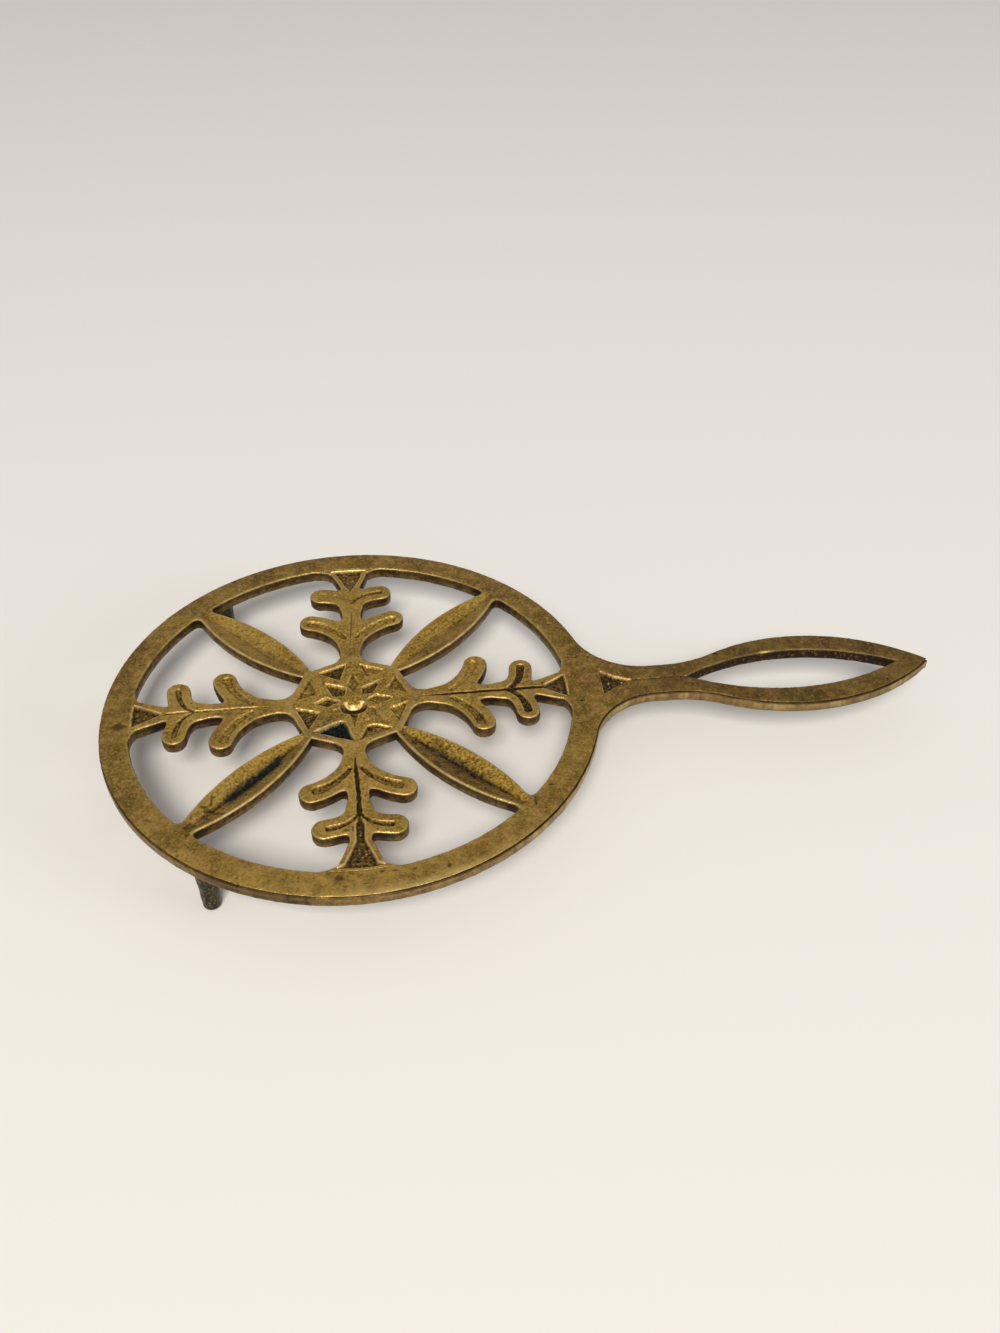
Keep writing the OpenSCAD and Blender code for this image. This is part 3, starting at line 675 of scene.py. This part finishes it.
def handle_surface(x, y):
    """Plain top with the root's hollow, its gritty floor, the scribed line in dots, and a pitted face."""
    top = plain_top(x, y)
    grit = rough(x, y, 0.75, 3)
    in_root = root_hollow(x, y)
    root = step(in_root, -0.05, 0.5)
    dotted = step(neck_line(x, y), -0.1, 0.25) * (0.65 + 0.35 * rough(x, y, 0.7, 16))
    pits = spotted(x, y, 0.95, 17, 0.5, 0.9)
    dirt = marks(x, y, HANDLE_MARKS)
    top["height"] -= ROOT_DEPTH * root * (1 - 0.22 * grit) + NECK_DEPTH * dotted
    top["height"] -= PIT_DEPTH * pits + 0.12 * dirt
    top["hollow"] = np.clip(root * 0.9 + 0.8 * dotted, 0, 1)
    top["verdigris"] = 0.3 * root
    at_least(top, "worn", 0.7 * root * step(grit, 0.6, 0.9))
    top["worn"] -= 0.4 * step(in_root, -0.8, -0.1)
    top["grime_and_shade"] = np.max([top["grime_and_shade"], 0.55 * pits, dirt], 0) * (1 - root)
    return top


def handle_border(x, y):
    """Distance inside the ring's outer circle."""
    return ring_r - np.hypot(x, y)


pour("handle", 0.26, handle_border, handle_surface)

# Hub. An eight-sided plate with a raised border. Its eight-pointed star is cut with three-cornered
# hollows between the points, a kite-shaped hollow in each point, and a moat round a domed boss.
STAR_AT = (0.4, 0.25)
BORDER_W = 1.9
# Three-cornered hollows, from the one nearest the handle round by the back: width at the border, place
# and rounding of the tip, depth, and how dark the floor is
TRI_W = np.array([9.4, 9.4, 9.4, 9.4, 9.4, 13, 11.6, 9.4])
TRI_TIP_R = np.array([10, 10.3, 9.6, 10.3, 10, 7.4, 9.9, 10.3])
TRI_ROUND = np.array([0.1, 0.2, 0.1, 0.2, 0.1, 1.1, 1, 0.2])
TRI_DEPTHS = np.array([0.75, 0.6, 0.9, 0.4, 0.9, 2.6, 0.8, 0.7])
TRI_DIRT = np.array([0.45, 0.3, 0.95, 0.45, 0.8, 0.5, 0.6, 0.35])
DARK_EIGHTH = 5
# Kites, from the one that points at the handle: widest place, share of the full width, depth, and how
# dark the floor is; one hollow and one point are greenish
KITE_IN_R, KITE_OUT_R, KITE_W = 3.4, 11.8, 4.5
KITE_WIDE_R = np.array([6.5, 5.5, 6.8, 5.4, 7.4, 6.6, 5.2, 6.6])
KITE_SHARE = np.array([1, 1, 0.9, 1.25, 0.95, 0.95, 0.65, 0.9])
KITE_DEPTHS = np.array([0.85, 1, 0.75, 1.3, 1.1, 0.32, 0.7, 0.3])
KITE_DIRT = np.array([0.55, 0.6, 0.5, 0.85, 0.9, 0.3, 0.5, 0.35])
GREEN_KITE, GREEN_POINT = 1, 5
BOSS_AT, BOSS_R, BOSS_DROP = (0.4, 0.45), 2.95, 1.5
MOAT_W, MOAT_FRONT_W, MOAT_DEPTH = 0.9, 3.2, 1.5
# Thin ridges across the star's front half, each from one point to another
HUB_RIDGES = (((-8.9, -8.9), (-7.3, -4.6)), ((6.9, -5), (10.2, -10.2)), ((2.7, -6.2), (4.3, -7.6)))
# Dark spots on the hub, the last two in the moat
HUB_MARKS = (
    (4.3, -11.4, 1.1, 0.9, 0.95), (-2.6, -3.2, 0.9, 0.8, 0.55), (-11, 4.5, 0.7, 1.2, 0.6),
    (-5.3, 11.4, 1.3, 1.2, 0.8), (0.2, -5.3, 1.5, 1.3, 1), (3.4, -3.2, 1.3, 0.8, 0.9),
)
# The boss's front is painted with a highlight outside this radius, which grows by a notch at one place
GLINT_R, NOTCH, NOTCH_X, NOTCH_W = 1.95, 0.65, 0.9, 0.45


def star_hollow(x, y):
    """Distance inside the nearest three-cornered hollow, and its number: within the hub's border and two
    sides that meet towards the boss."""
    along, beside, eighth = folded(x - STAR_AT[0], y - STAR_AT[1], EIGHTH / 2)
    half_angle = np.arctan(TRI_W[eighth] / 2 / (hub_flat_r - BORDER_W - TRI_TIP_R[eighth]))
    aside = np.hypot(beside, TRI_ROUND[eighth])
    side = (along - TRI_TIP_R[eighth]) * np.sin(half_angle) - aside * np.cos(half_angle)
    return np.minimum(-hub_distance(x, y) - BORDER_W - 0.5 * (eighth == DARK_EIGHTH), side), eighth


def kite(x, y):
    """Distance inside the nearest kite-shaped hollow, and its number: within two long sides outwards and
    two short ones towards the boss."""
    along, beside, eighth = folded(x - STAR_AT[0], y - STAR_AT[1], 0)
    half = KITE_W / 2 * KITE_SHARE[eighth]
    outer = np.arctan(half / (KITE_OUT_R - KITE_WIDE_R[eighth]))
    inner = np.arctan(half / (KITE_WIDE_R[eighth] - KITE_IN_R))
    away = (KITE_OUT_R - along) * np.sin(outer) - np.abs(beside) * np.cos(outer)
    back = (along - KITE_IN_R) * np.sin(inner) - np.abs(beside) * np.cos(inner)
    return np.minimum(away, back * 1.25), eighth


def boss(x, y):
    """Depth under the boss's dome, which falls with the cube of its radius, and of the moat round it,
    deepest in front."""
    u, v = x - BOSS_AT[0], y - BOSS_AT[1]
    r, angle = np.hypot(u, v), np.arctan2(v, u)
    front = 0.5 - 0.5 * np.sin(angle)
    dome = 0.12 + BOSS_DROP * (r / BOSS_R) ** 3
    deep = step(front, 0.6, 0.97)
    moat_w = MOAT_W + (MOAT_FRONT_W - MOAT_W) * deep
    floor = MOAT_DEPTH * (0.12 + 0.98 * deep)
    rise = floor * (BOSS_R + moat_w - r) / moat_w * 2.2
    return np.clip(np.min([dome, rise, floor], 0), 0, 3), r, deep, moat_w


def hub_surface(x, y):
    """Plain top less the deepest of star hollows, kites and moat. Steep sides, uneven floors."""
    top = plain_top(x, y)
    grit = 0.6 * rough(x, y, 0.8, 3) + 0.4 * rough(x, y, 0.45, 4)
    tri, eighth = star_hollow(x, y)
    tri_share = step(tri + 0.1 * grit, -0.05, 0.62)
    kite_in, point = kite(x, y)
    kite_share = 0.65 * step(kite_in + 0.08 * grit, -0.05, 0.5) + 0.35 * np.clip(kite_in / 1.5, 0, 1)
    dip, r, deep, moat_w = boss(x, y)
    cut = np.max([tri_share * TRI_DEPTHS[eighth], kite_share * KITE_DEPTHS[point], dip], 0)
    floor = np.maximum(tri_share * (eighth != DARK_EIGHTH), kite_share) * (dip < 0.3)
    face = step(-hub_distance(x, y), BORDER_W - 0.6, BORDER_W + 0.6) * (dip < 0.1)
    lumps = face * (0.13 * rough(x, y, 1.9, 23) - 0.18 + 0.04 * rough(x, y, 0.7, 24))
    ridge = np.zeros(np.shape(x))
    for start, end in HUB_RIDGES:
        middle = tuple((a + b) / 2 for a, b in zip(start, end))
        away = line_distance(x, y, (start, middle, end), (0, 0))
        ridge = np.maximum(ridge, 1 - step(away, 0.15, 0.8))
    top["height"] -= cut + 0.2 * floor * grit - lumps * (1 - ridge) + 0.03 * ridge
    dark = step(tri, -0.1, 0.15) * (eighth == DARK_EIGHTH)
    # The moat is darker, most of all in front of the boss
    moat_dark = 1 - step(r, BOSS_R + 0.85 * moat_w, BOSS_R + moat_w)
    moat_dark = step(r, BOSS_R - 0.15, BOSS_R + 0.25) * moat_dark * (0.1 + 0.9 * deep)
    floors = np.maximum(step(tri, 0.2, 0.55) * TRI_DIRT[eighth], step(kite_in, 0.3, 0.7) * KITE_DIRT[point])
    stains = 0.45 * face * spotted(x, y, 1.6, 25, 0.2, 0.9)
    top["hollow"] = np.clip(np.maximum(floors, moat_dark), 0, 1)
    top["grime_and_shade"] = np.maximum(top["grime_and_shade"] * (cut < 0.1), 0.6 * moat_dark * deep)
    top["grime_and_shade"] = np.clip(top["grime_and_shade"] + 0.8 * dark + stains, 0, 1)
    at_least(top, "grime_and_shade", marks(x, y, HUB_MARKS))
    green = 0.9 * dark + 0.35 * kite_share * (point == GREEN_KITE) + 0.2 * (point == GREEN_POINT)
    top["verdigris"] = np.minimum(green, 1)
    top["golden"] = np.clip(0.8 * (1 - step(r, BOSS_R * 0.7, BOSS_R)) + 0.5 * face, 0, 1)
    # Painted highlight on the boss's steep front
    inner_r = GLINT_R + NOTCH * np.exp(-((x - NOTCH_X) / NOTCH_W) ** 2)
    glint = step(-y, -0.1, 0.6) * step(r, inner_r, inner_r + 0.35) * (1 - step(r, 2.9, 3.15))
    border = step(hub_distance(x, y), -BORDER_W, -BORDER_W + 0.4)
    top["worn"] = 0.8 * glint + 0.15 * ridge + 0.12 * border
    return top


pour("hub", 0.16, hub_distance, hub_surface)

# Leaf arms. Four oak leaves run from the hub's corners to the ring: a stem with two pairs of round
# lobes, which flares into the ring. Each lobe has a curved hollow, the stem a vein, and the foot of the
# leaf a three-cornered recess with a rough floor. The mould filled each of them differently.
FRAME_W, FOOT_DEPTH, FOOT_END = 1.75, 1.3, 61.2
HOLLOW_DEPTH = 0.7
LARGE_HOLLOW_R, SMALL_HOLLOW_R = (0.85, 1.5), (0.5, 1)
LARGE_FROM, SMALL_FROM, LARGE_NEARER = 0.2, 0.1, 0.7
# Right, back, left and front arm: how much nearer the stem the hollows end, how dull their lips are, and
# start, taper and dirt of the foot's recess
HOLLOW_NEARER = np.array([1, 1, 1, 1.12])
LIP_DULL = np.array([0.15, 0.2, 0.15, 0.45])
FOOT_FROM, FOOT_SLOPE = np.array([53.6, 50.5, 52.8, 43.4]), np.array([0.62, 0.55, 0.55, 0.36])
FOOT_DIRT = np.array([0.85, 0.6, 0.75, 0.85])
# Of the vein: half width, depth, where it runs, dirt, blackness, and how dull the stem is beside it
VEIN_HALF, VEIN_DEPTHS = np.array([0.55, 0.3, 0.4, 0.62]), np.array([0.35, 0.2, 0.35, 0.85])
VEIN_FROM, VEIN_TO = np.array([19.5, 24, 23, 22.5]), np.array([55, 40, 52, 44])
VEIN_DIRT, VEIN_BLACK = np.array([0.9, 0.3, 0.4, 1]), np.array([1, 0.2, 0.15, 0.6])
STEM_DULL = np.array([0.55, 0.2, 0, 0.3])
ARM_MARKS = ((54.3, 1.6, 0.6, 0.6, 0.8), (-2.8, -48.5, 1, 0.5, 0.7), (35.2, -10.4, 1.2, 1.7, 0.75))
# How fully each hollow was cut: for each arm the left and the right pair, seen from the hub, large first
HOLLOW_SHARE = np.array([
    [[0.75, 1.15], [1, 1.1]], [[0.9, 0.3], [0.9, 0.6]],
    [[0.9, 0.9], [0.7, 0.9]], [[1.15, 1.1], [1.1, 1.1]],
])
HOLLOW_DIRT = np.array([
    [[0.05, 1], [0.5, 1]], [[0.4, 0.1], [0.25, 0.6]],
    [[0.3, 0.5], [0.45, 0.55]], [[0.65, 0.8], [0.7, 0.75]],
])


def part_of(line, start):
    """The last stretch of a curved line, from the share start to its end, as a curved line of its own."""
    a, b, c = (np.array(p) for p in line)
    first = (1 - start) ** 2 * a + 2 * start * (1 - start) * b + start * start * c
    return first, b * (1 - start) + c * start, c


def lobe_hollows(along, beside, arm):
    """Distance inside the large and the small hollow, which follow the outer part of the lobes' lines."""
    up, lobe_along = np.abs(beside) * HOLLOW_NEARER[arm], along + LOBES_IN[arm]
    large = line_distance(lobe_along + LARGE_NEARER, up, part_of(LARGE_LINE, LARGE_FROM), LARGE_HOLLOW_R)
    small = line_distance(lobe_along, up, part_of(SMALL_LINE, SMALL_FROM), SMALL_HOLLOW_R)
    return -large, -small


def foot_recess(x, y, along, beside, arm):
    """Distance inside the recess at a leaf's foot: within the frame along both edges, tapered to a point."""
    start = FOOT_FROM[arm]
    taper = 0.1 + (along - start) * FOOT_SLOPE[arm]
    half = np.minimum(stem_half(along) - FRAME_W, np.maximum(taper, 0))
    return np.min([half - np.abs(beside), along - start, FOOT_END - np.hypot(x, y)], 0)


def arm_surface(x, y):
    """Plain top less hollows, vein and foot. High grains in the gritty floors are rubbed bright."""
    top = plain_top(x, y)
    grit = 0.6 * rough(x, y, 0.85, 3) + 0.4 * rough(x, y, 0.5, 4)
    along, beside, arm = arm_frame(x, y)
    side = (beside < 0).astype(int)
    large, small = lobe_hollows(along, beside, arm)
    lip = step(np.maximum(large, small), -1, -0.1)
    large = step(large + 0.22 * grit, -0.1, 0.6)
    small = step(small + 0.16 * grit + 0.3 * (arm == 0), -0.1, 0.5)
    lobes = np.maximum(large * HOLLOW_SHARE[arm, side, 0], small * HOLLOW_SHARE[arm, side, 1]) * HOLLOW_DEPTH
    large_dirt = (0.85 * large + 1.6 * large * (1 - large)) * HOLLOW_DIRT[arm, side, 0]
    small_dirt = (1.1 * small + 1.2 * small * (1 - small)) * HOLLOW_DIRT[arm, side, 1]
    half = VEIN_HALF[arm] * step(along, VEIN_FROM[arm] - 2, VEIN_FROM[arm] + 8)
    half = half * (1 + 0.35 * rough(x, y, 1.1, 18))
    on_vein = (along > VEIN_FROM[arm]) & (along < VEIN_TO[arm])
    vein = step(half - np.abs(beside), -0.2, 0.3) * on_vein
    foot = step(foot_recess(x, y, along, beside, arm) + 0.12 * grit, -0.05, 0.5)
    cut = np.max([lobes, vein * VEIN_DEPTHS[arm], foot * FOOT_DEPTH], 0)
    top["height"] -= cut - (0.22 * step(lobes, 0.2, 0.6) + 0.3 * foot) * grit
    floor = np.max([foot * FOOT_DIRT[arm], large_dirt, small_dirt], 0)
    top["hollow"] = np.clip(np.maximum(floor, vein * VEIN_DIRT[arm]), 0, 1)
    stem = STEM_DULL[arm] * on_vein * (1 - step(np.abs(beside), 0.6, 1.7))
    top["worn"] = 0.5 * np.maximum(floor, lobes) * step(grit, 0.5, 0.9) - stem - LIP_DULL[arm] * lip
    top["grime_and_shade"] = top["grime_and_shade"] * (cut < 0.1) + 0.35 * floor * step(-grit, 0.1, 0.6)
    at_least(top, "grime_and_shade", np.maximum(vein * VEIN_BLACK[arm], marks(x, y, ARM_MARKS)))
    top["verdigris"] = 0.2 * foot
    top["golden"] = 0.45 * spotted(x, y, 5, 19, -0.4, 0.6) + 0.4 * lobes
    return top


def leaf_border(x, y):
    """Distance outside the region between hub and ring."""
    return np.maximum(-hub_distance(x, y), np.hypot(x, y) - ring_in_r)


for turns, place in enumerate(("right", "back", "left", "front")):
    pour("leaf_arm_" + place, 0.16, leaf_border, arm_surface, 2 * turns)

# Petals. Between the arms four pointed petals run from hub to ring. Each is dished to a crease along
# its middle, inside a narrow raised edge, and was left rough by the sand. The front left one is green
# in its crease. Each far slope, facing the lamp, is painted with light, the front right one most, and
# each near slope with shade.
PETAL_EDGE_W, PETAL_DEPTH = 0.5, 1.55
# Back right, back left, front left and front right: painted light on the far slope and painted shade on
# the near one, dirt, green and dots in the crease, how coarse the grit is, and pits towards ring and hub
FAR_SLOPE_LIGHT, NEAR_SLOPE_SHADE = np.array([0.55, 0.35, 0.6, 1]), np.array([0.15, 0.25, 0.35, 0.6])
CREASE_DIRT, CREASE_GREEN = np.array([0.35, 0.3, 0.9, 1]), np.array([0, 0, 1, 0.4])
CREASE_DOTS, GRITTY = np.array([0.2, 0.4, 0.7, 0.95]), np.array([0.55, 0.7, 0.9, 1])
RING_PITS, HUB_PITS = np.array([0, 0, 1, 0]), np.array([0, 0, 0, 0.8])
# Along a petal: where the ring's end begins, and where the dots and the hub's pits fade
RING_END, DOTS_END, HUB_PITS_END = (43, 50), (44, 54), (36, 52)
GREEN_X, GREEN_REACH = 38, (7, 13)


def petal_surface(x, y):
    """Plain top less a dish: depth grows from the raised edge to the crease with the power 0.9. Grain is
    drawn out lengthwise."""
    top = plain_top(x, y)
    along, beside, petal = folded(x, y, EIGHTH, QUARTER)
    inside = -petal_distance(x, y) - PETAL_EDGE_W
    share = np.clip(inside / (PETAL_W / 2 - PETAL_EDGE_W), 0, 1)
    dish = step(inside, -0.25, 0.5) * share ** 0.9
    streak = rough(along / 4, beside, 0.9, 20)
    grit = 0.5 * rough(x, y, 0.9, 3) + 0.5 * rough(x, y, 0.5, 4)
    near_side = np.where((petal == 1) | (petal == 2), 1, -1)
    far = step(-beside * near_side, -0.2, 0.6) * step(inside, -0.1, 0.4)
    grains = 0.55 * rough(along / 2.2, beside, 0.75, 29) + 0.45 * rough(x, y, 0.7, 34)
    grains = 1.15 * grains * GRITTY[petal] * step(inside, 0.2, 0.9) * (0.35 + 0.65 * far)
    top["height"] -= PETAL_DEPTH * dish - 0.1 * dish * grit - 0.07 * share * streak + 0.08 * grains
    ring_end = step(along, *RING_END) * RING_PITS[petal]
    # Painted light on the far slope, which faces the lamp
    top["golden"] = far * FAR_SLOPE_LIGHT[petal] * (0.55 + 0.45 * step(grit, -0.4, 0.4)) * (1 - 0.75 * ring_end)
    green = CREASE_GREEN[petal] * (1 - step(np.abs(beside - 0.4), 0.3, 2.7))
    green = green * (1 - step(np.abs(along - GREEN_X), *GREEN_REACH)) * (1.1 + 0.5 * grit + 0.5 * streak)
    top["verdigris"] = np.clip(green, 0, 1) * step(inside, 0.3, 1.2)
    dots = spotted(x, y, 0.75, 27, 0.1, 0.6) * step(share, 0.5, 0.8) * CREASE_DOTS[petal]
    pits = 0.7 * (ring_end + HUB_PITS[petal] * (1 - step(along, *HUB_PITS_END)))
    pits = pits * spotted(x, y, 0.8, 31, 0.2, 0.65) * step(inside, 0.2, 0.8)
    at_least(top, "grime_and_shade", np.maximum(pits, dots * (1 - step(along, *DOTS_END))))
    crease = step(share * PETAL_W / 2 - 0.5 * np.abs(streak), 1.6, 3.4)
    crease = crease * (1 - step(np.abs(beside), 0.2, 1.3)) * CREASE_DIRT[petal]
    # Dirt in the crease, and painted shade on the near slope
    dirt_and_near_shade = np.maximum(crease, (1 - far) * step(inside, 0.2, 0.9) * NEAR_SLOPE_SHADE[petal])
    dirt_and_near_shade = dirt_and_near_shade + 0.35 * step(streak, 0.35, 0.8) * share * (petal < 2) + 0.75 * step(grains, 0.25, 0.8)
    top["hollow"] = np.clip(dirt_and_near_shade, 0, 1)
    from_edge = inside + PETAL_EDGE_W
    # A little painted highlight on the raised edge's near side
    edge = step(from_edge, 0, 0.3) * (1 - step(from_edge, 0.35, 0.7)) * step(beside * near_side, 0, 0.6)
    top["worn"] = 0.12 * step(-grains, 0.35, 0.85) + 0.1 * edge
    return top


for turns, place in enumerate(("back_right", "back_left", "front_left", "front_right")):
    pour("petal_" + place, 0.18, leaf_border, petal_surface, 2 * turns + 1)

# Feet. Three pegs with round ends under the ring, cast with it and never polished: black-green with age,
# and their walls painted darker still as shade under the ring.
FOOT_TOP_R, FOOT_LOW_R, FOOT_TIP_R, FOOT_FILLET, FOOT_ROUGH = 2.9, 2.5, 1.9, 0.6, 0.12
foot_face, foot_dark_and_shaded = ("#3a3424", "#4a442c"), ("#15150f", "#3a3929")
foot_brass = old_brass("unpolished_shaded_foot_brass", foot_face, foot_face, foot_dark_and_shaded, foot_dark_and_shaded)


def foot_piece(node):
    """A profile turned about the foot's own axis: rounded tip, straight taper, hollow fillet at the ring."""
    low, high = (np.array(corner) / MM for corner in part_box(node))
    height = high[2] - low[2]
    t, rise = np.linspace(0, math.pi / 2, 9), np.linspace(0, 1, 22)[1:-1]
    radius = np.concatenate([
        FOOT_LOW_R - FOOT_TIP_R * (1 - np.sin(t)),
        FOOT_LOW_R + (FOOT_TOP_R - FOOT_LOW_R) * rise,
        FOOT_TOP_R + FOOT_FILLET * (1 - np.cos(t)),
    ])
    up = np.concatenate([
        FOOT_TIP_R * (1 - np.cos(t)),
        FOOT_TIP_R + (height - FOOT_FILLET - FOOT_TIP_R) * rise,
        height - FOOT_FILLET * (1 - np.sin(t)),
    ])
    turn = np.linspace(0, 2 * math.pi, 65)[:-1, None]
    grit = rough(turn * 4 + 40 * low[0], up[None, :], 1.2, 9)
    r = radius - FOOT_ROUGH * (1 + grit) * step(up, 0.5, 2) * step(height - up, 0, 1)
    middle_x, middle_y = (low[0] + high[0]) / 2, (low[1] + high[1]) / 2
    level = np.broadcast_to(low[2] + up, r.shape)
    ring = np.stack([middle_x + r * np.cos(turn), middle_y + r * np.sin(turn), level], 2)
    rows, levels = ring.shape[:2]
    i, k = (g.ravel() for g in np.meshgrid(np.arange(rows), np.arange(levels - 1), indexing="ij"))
    j = (i + 1) % rows
    quads = np.stack([i * levels + k, j * levels + k, j * levels + k + 1, i * levels + k + 1], 1)
    ends = [list(range(0, rows * levels, levels))[::-1], list(range(levels - 1, rows * levels, levels))]
    points, masks = ring.reshape(-1, 3) * MM, {"wall": np.ones(rows * levels)}
    faces = quads.tolist() + ends
    add_piece("peg_" + node, node, points, faces, len(quads), masks, foot_brass)


for node in ("foot_right", "foot_back_left", "foot_front_left"):
    foot_piece(node)

# Floor, light and camera: a pale table, a soft lamp over the viewer's shoulder, a cool one from the
# right, and the photograph's view.
FLOOR_SIZE = 8
half = FLOOR_SIZE / 2
corners = [(-half, -half, 0), (half, -half, 0), (half, half, 0), (-half, half, 0)]
floor_mesh = bpy.data.meshes.new("floor")
floor_mesh.from_pydata(corners, [], [(0, 1, 2, 3)])
floor = add_object("floor", floor_mesh)
paper = bpy.data.materials.new("pale_floor")
paper.use_nodes = True
look = {"Base Color": flat_colour("#dedcd8"), "Roughness": 0.9}
fill(paper.node_tree, paper.node_tree.nodes["Principled BSDF"], look)
floor_mesh.materials.append(paper)


def soft_lamp(name, at, size, watts, tint):
    """A square lamp that faces the middle of the trivet."""
    lamp = bpy.data.lights.new(name, "AREA")
    lamp.shape = "SQUARE"
    lamp.size = size
    lamp.energy = watts
    lamp.color = flat_colour(tint)[:3]
    placed = add_object(name, lamp)
    placed.location = at
    placed.rotation_euler = (-Vector(at)).to_track_quat("-Z", "Y").to_euler()


soft_lamp("front_lamp", (-0.37, -1.87, 2.1), 1, 82, "#fffaf2")
soft_lamp("side_lamp", (2.7, -1.3, 1.1), 1.2, 24, "#eef2fa")
world = bpy.data.worlds.new("studio")
scene.world = world
world.use_nodes = True
look = {"Color": flat_colour("#f2f1ee"), "Strength": 0.4}
fill(world.node_tree, world.node_tree.nodes["Background"], look)

# The camera, worked out from ring and handle in the photograph
FOCAL_PX, PHOTO_H = 1278.8, 1333
CAMERA_TILT, CAMERA_ROLL, TRIVET_TURN = math.radians(41.21), math.radians(-0.47), math.radians(6.985)
CAMERA_AT = (0.13, -3.833, 3.505)
camera_data = bpy.data.cameras.new("camera")
camera_data.sensor_fit = "VERTICAL"
camera_data.sensor_height = 36
camera_data.lens = FOCAL_PX * camera_data.sensor_height / PHOTO_H
camera = add_object("camera", camera_data)
turn = (
    Matrix.Rotation(CAMERA_ROLL, 4, "Z")
    @ Matrix.Rotation(CAMERA_TILT - math.pi / 2, 4, "X")
    @ Matrix.Rotation(TRIVET_TURN, 4, "Z")
).transposed()
spot = Vector(CAMERA_AT) * ring_r * MM + Vector((ring_x, 0, plate_top)) * MM
camera.matrix_world = Matrix.Translation(spot) @ turn
scene.camera = camera
scene.view_settings.view_transform = "Standard"
